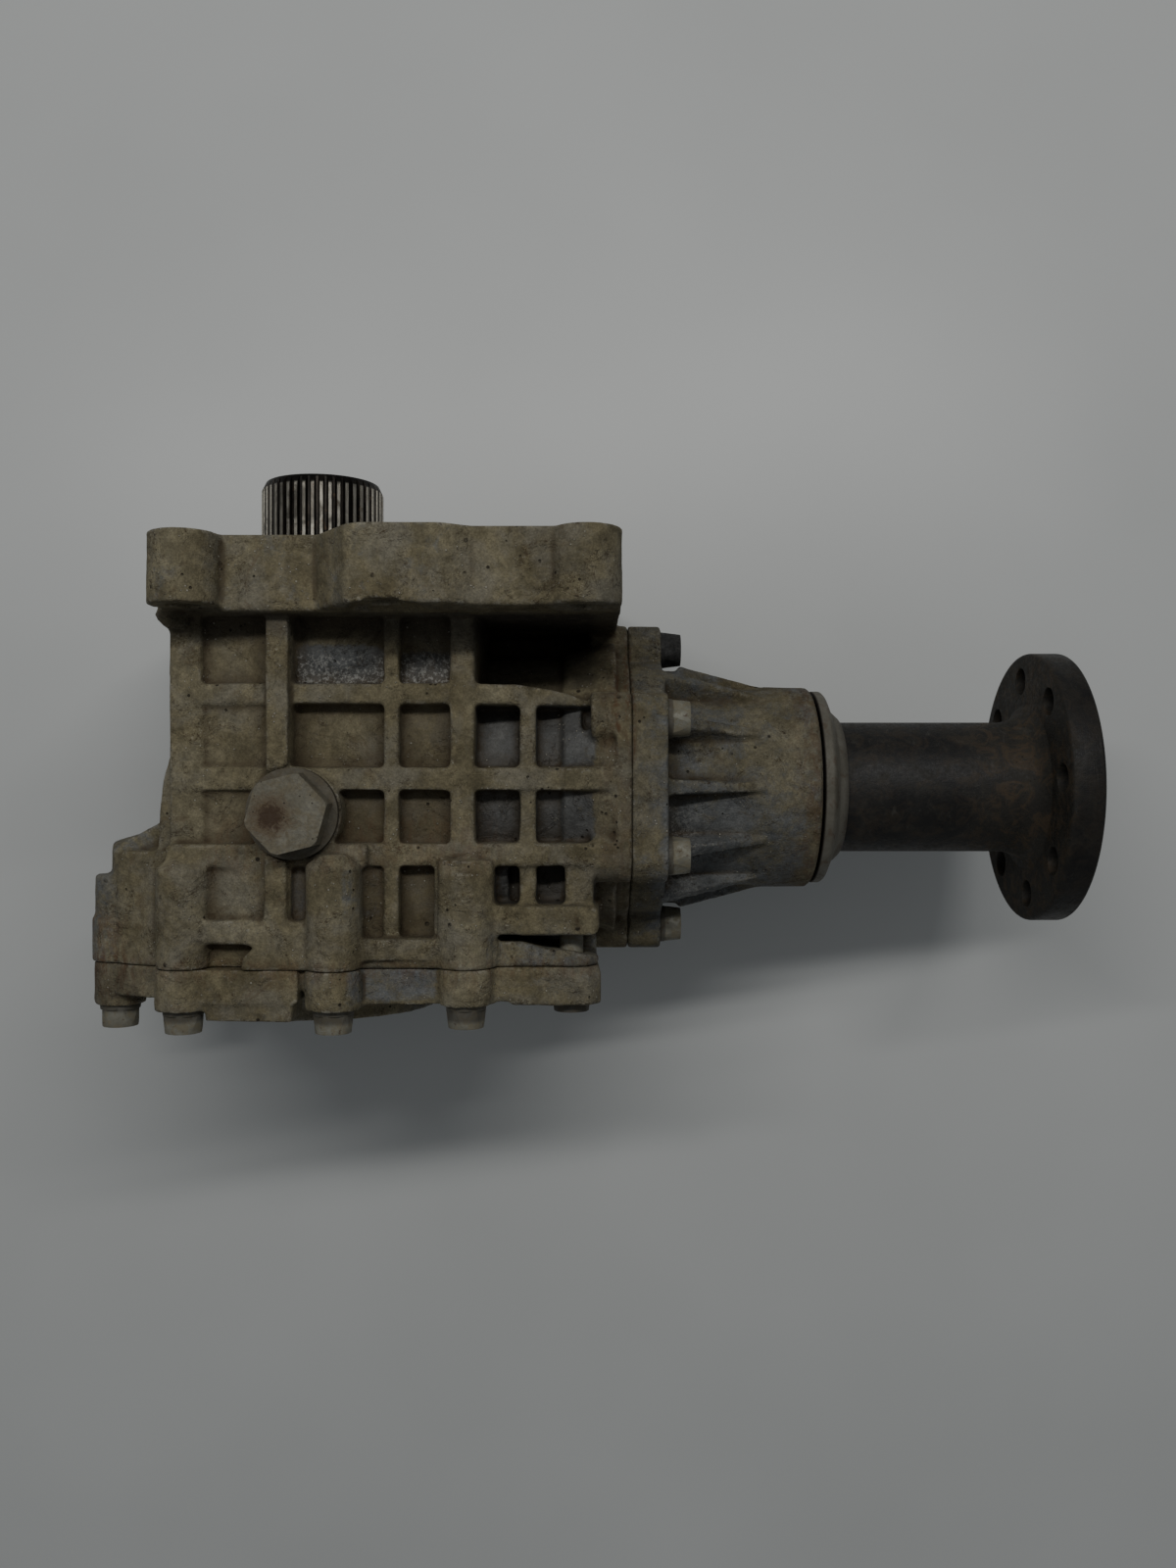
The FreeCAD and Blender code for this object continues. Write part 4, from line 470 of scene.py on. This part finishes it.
def casting(node, voxel, rounds, keep, waves):
    """The node's own solid, re-skinned in fine facets with rounded, slightly
    uneven cast edges."""
    src = NODES[node]
    mesh = src.data.copy()
    bm = bmesh.new()
    bm.from_mesh(mesh)
    bmesh.ops.remove_doubles(bm, verts=bm.verts, dist=1e-6)
    bm.to_mesh(mesh)
    bm.free()
    obj = bpy.data.objects.new("skin_" + node, mesh)
    bpy.context.scene.collection.objects.link(obj)
    m = obj.modifiers.new("skin", "REMESH")
    m.mode = "VOXEL"
    m.voxel_size = voxel
    m.use_smooth_shade = True
    s = obj.modifiers.new("round", "SMOOTH")
    s.factor = 0.5
    s.iterations = rounds
    if keep < 1.0:
        d = obj.modifiers.new("thin", "DECIMATE")
        d.ratio = keep
    dg = bpy.context.evaluated_depsgraph_get()
    new = bpy.data.meshes.new_from_object(obj.evaluated_get(dg))
    obj.modifiers.clear()
    obj.data = new
    bpy.data.meshes.remove(mesh)
    n = len(new.vertices)
    co = np.empty(n * 3)
    new.vertices.foreach_get("co", co)
    co = co.reshape(-1, 3) * 1000
    nr = np.empty(n * 3)
    new.vertex_normals.foreach_get("vector", nr)
    nr = nr.reshape(-1, 3)
    # fine unevenness of a sand-cast skin and of the mud on it
    h = np.zeros(n)
    for size, amp, seed in waves:
        h += amp * fine_noise(co, size, seed)
    lump = fine_noise(co, 6.0, 41.0, 2)
    h += 0.28 * np.clip(lump - 0.25, 0, 1)
    guard = machined(co, nr, node)
    co2 = co + nr * (h * guard)[:, None]
    new.vertices.foreach_set("co", (co2 / 1000).ravel())
    grades = marks(co, nr, node)
    grades["cave"] = cave(new, co, nr)
    for key, values in grades.items():
        a = new.attributes.new(key, "FLOAT", "POINT")
        a.data.foreach_set("value", np.clip(values, 0, 1).astype(np.float32))
    new.polygons.foreach_set("use_smooth", [True] * len(new.polygons))
    new.materials.clear()
    new.materials.append(MAT["cast_aluminium"])
    new.update()
    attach(obj, "housing")
    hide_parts(node)
    return obj


def machined(co, nr, node):
    """0 where a face is machined and stays true, 1 on the raw skin."""
    x, y, z = co.T
    rad_a = np.hypot(x, z)
    rad_c = np.hypot(y, z - 15)
    g = np.ones(len(co))
    g *= 1 - soft(y, 80.8, 90, 0.8)
    g *= 1 - soft(y, -60.9, -59.1, 0.5)
    g *= 1 - soft(x, 117.3, 118.7, 0.5)
    g *= 1 - soft(rad_a, 0, 42, 2.0)
    g *= 1 - soft(rad_c, 0, 36.2, 1.0) * soft(x, 66, 200)
    g *= 1 - soft(z, -79, -76.8, 0.5)
    g *= 1 - soft(rad_c, 0, 44, 0.5) * soft(x, 66, 117)
    if node == "transfer_case":
        g *= 1 - soft(rad_a, 60, 71.0, 0.5) * soft(y, -60, -22)
    return g


def marks(co, nr, node):
    """Where the photograph shows cleaner metal, stains and chips, and where painted shade (with a little grime)
    darkens the colour.
    """
    x, y, z = co.T
    n = len(co)
    clean = np.full(n, 0.10)
    stain = np.zeros(n)
    dark = np.zeros(n)
    chip = np.zeros(n)
    if node == "transfer_case":
        front = soft(z, 40, 100, 4)
        # silvery floors of the uppermost pockets
        clean += 0.95 * soft(x, 5.5, 34.0) * soft(y, 34.0, 47.0, 2) * soft(z, 60, 66.8, 1.0)
        clean += 0.95 * soft(x, 41.0, 56.5) * soft(y, 34.0, 44.0, 2) * soft(z, 60, 66.8, 1.0)
        chip += 0.55 * soft(x, 5.5, 56.5) * soft(y, 34.0, 44.0, 2) * soft(z, 60, 66.8, 1.0)
        # cool grey pockets right of the long rib, also darkened there as painted shade in the recesses
        for lo, hi in ((-18.0, -1.6), (7.5, 27.0), (-39.0, -27.0)):
            dark += 0.42 * soft(x, 66.5, 104.0, 3) * soft(y, lo, hi, 1.0) * soft(z, 30, 66.5, 2.0)
            clean += 0.85 * soft(x, 66.5, 104.0, 3) * soft(y, lo, hi, 1.0) * soft(z, 30, 66.5, 2.0)
        clean += 0.55 * soft(x, 5.0, 10.6) * soft(y, -44, -26.5) * soft(z, 60, 75.5)
        clean += 0.30 * soft(x, 24, 34) * soft(y, -43, -27) * front
        clean += 0.45 * soft(x, 70, 108) * soft(y, -60, -49) * front
        # left flank of the crown wheel chamber
        clean += 0.50 * soft(x, -90, -46, 4) * soft(z, -30, 60, 6)
        clean += 0.22 * soft(x, -60, -36.4, 0.6) * soft(y, -14, 57)
        # back side
        clean += 0.28 * soft(z, -90, 10, 10)
        # painted shadow under the slab, with some brown grime
        dark += 0.55 * soft(y, 51.5, 57.5, 3) * soft(z, 30, 79, 3)
        # painted shade in the deep dark recess under the right end of the slab
        dark += 0.45 * soft(x, 66, 104, 3) * soft(y, 36, 57.5, 3) * soft(z, 0, 74, 3)
        stain += 1.0 * soft(x, 112.4, 113.6, 0.5) * soft(y, 14, 44, 4) * soft(z, 10, 90, 6)
        stain += 0.9 * soft(x, 116.2, 117.2, 0.5) * soft(y, 22, 50, 4) * soft(z, 10, 90, 6)
        stain += 0.25 * soft(x, 108, 119, 2.0) * soft(z, 10, 90, 6)
        stain += 0.35 * soft(y, -60.8, -57.5, 1.2) * front
        stain += 0.55 * soft(x, -80, -55, 4) * soft(y, -62, -45, 5)
        # brown patch on the long ribs
        stain += 0.28 * soft(x, -20, 70, 8) * soft(y, -26, -12, 5) * front
        clean += 0.16 * soft(y, 57.5, 84, 2) * soft(x, -60, 60, 12)
    elif node == "side_cover":
        clean += 0.12 + 0.35 * soft(z, -90, 20, 20)
        stain += 0.35 * soft(y, -62.5, -60, 1.5)
        stain += 0.55 * soft(x, -80, -52, 4)
        dark += 0.35 * soft(x, -80, -50, 4) * soft(y, -72, -60, 3)
        clean += 0.4 * soft(x, 26, 52, 2) * soft(y, -70, -60, 2) * soft(z, 50, 90)
    else:
        clean += 0.25 + 0.22 * soft(x, 131, 152, 8)
        clean += 0.28 * soft(y, -50, -8, 10) * soft(x, 131, 175, 6)
        stain += 0.8 * soft(x, 118, 119.0, 0.5) * soft(y, 10, 50, 6) * soft(z, 10, 90, 6)
        stain += 0.50 * soft(x, 178, 186, 3)
        chip += 0.25 * soft(x, 131, 140, 3) * soft(y, -40, -10, 6)
    return {"clean": clean, "stain": stain, "dark": dark, "chip": chip}


WAVES = [(16.0, 0.22, 3.0), (4.2, 0.10, 5.0), (1.7, 0.055, 7.0)]
casting("transfer_case", 0.00085, 7, 0.55, WAVES)
casting("side_cover", 0.0008, 5, 0.6, WAVES)
casting("pinion_housing", 0.0008, 5, 0.6, WAVES)

# ------------------------------------------- small broken edges on steel parts
CHAMFER = {"side_cover_bolts": 0.35, "pinion_housing_bolts": 0.35, "filler_plug": 0.55, "drain_plug": 0.5,
           "output_flange": 0.45, "dust_deflector": 0.35, "pinion_nut": 0.5, "pinion_nut_washer": 0.3,
           "filler_plug_gasket": 0.2, "drain_plug_gasket": 0.2, "breather": 0.3, "ring_gear_bolts": 0.3}
for name, width in CHAMFER.items():
    o = NODES[name]
    w = o.modifiers.new("weld", "WELD")
    w.merge_threshold = 1e-6
    b = o.modifiers.new("edge", "BEVEL")
    b.limit_method = "ANGLE"
    b.angle_limit = math.radians(28)
    b.width = width * MM
    b.segments = 2
    b.use_clamp_overlap = True
    b.harden_normals = False

# --------------------------------------------------------------------- stage
floor_mesh = bpy.data.meshes.new("floor")
bm = bmesh.new()
bmesh.ops.create_grid(bm, x_segments=8, y_segments=8, size=3.0)
bm.to_mesh(floor_mesh)
bm.free()
floor = bpy.data.objects.new("floor", floor_mesh)
floor.location = (0.1, 0.0, -0.0781)
bpy.context.scene.collection.objects.link(floor)
ft = Tree("floor_pale")
fcol = ft.ramp(ft.noise(180, 3, 0.5), [(0.35, (0.63, 0.642, 0.63)), (0.65, (0.67, 0.682, 0.67))])
fp = ft.xyz()
# painted light: the floor grows lighter towards +Y, standing in for the strip lamp's falloff
fcol = ft.shade(fcol, fp[1], 0.92, 1.04, (-420.0, 420.0))
floor_mesh.materials.append(ft.finish(fcol, 0.34, 0.0, None, Specular_IOR_Level=0.35))


def area(name, loc, aim, size, size_y, power, color=(1, 1, 1)):
    d = bpy.data.lights.new(name, "AREA")
    d.shape = "RECTANGLE"
    d.size = size
    d.size_y = size_y
    d.energy = power
    d.color = color
    o = bpy.data.objects.new(name, d)
    o.location = loc
    o.rotation_euler = (Vector(aim) - Vector(loc)).to_track_quat("-Z", "Y").to_euler()
    bpy.context.scene.collection.objects.link(o)
    return o


strip = area("strip", (0.068, 0.420, 0.880), (0.068, 0.0, 0.0), 1.08, 0.05, 4.0, (1.0, 0.995, 0.975))
strip.rotation_euler.rotate_axis("Z", math.radians(7.0))
world = bpy.data.worlds.new("room")
world.use_nodes = True
bg = world.node_tree.nodes["Background"]
bg.inputs[0].default_value = (0.92, 0.96, 1.0, 1.0)
bg.inputs[1].default_value = 0.162
bpy.context.scene.world = world

cam_data = bpy.data.cameras.new("photo_camera")
cam_data.sensor_fit = "AUTO"
cam_data.sensor_width = 36.0
cam_data.lens = 29.25
cam_data.clip_start = 0.01
cam_data.clip_end = 20.0
cam = bpy.data.objects.new("photo_camera", cam_data)
cam.location = (0.1031, 0.0011, 0.496)
cam.rotation_euler = (0.0, 0.0, 0.0)
bpy.context.scene.collection.objects.link(cam)
bpy.context.scene.camera = cam
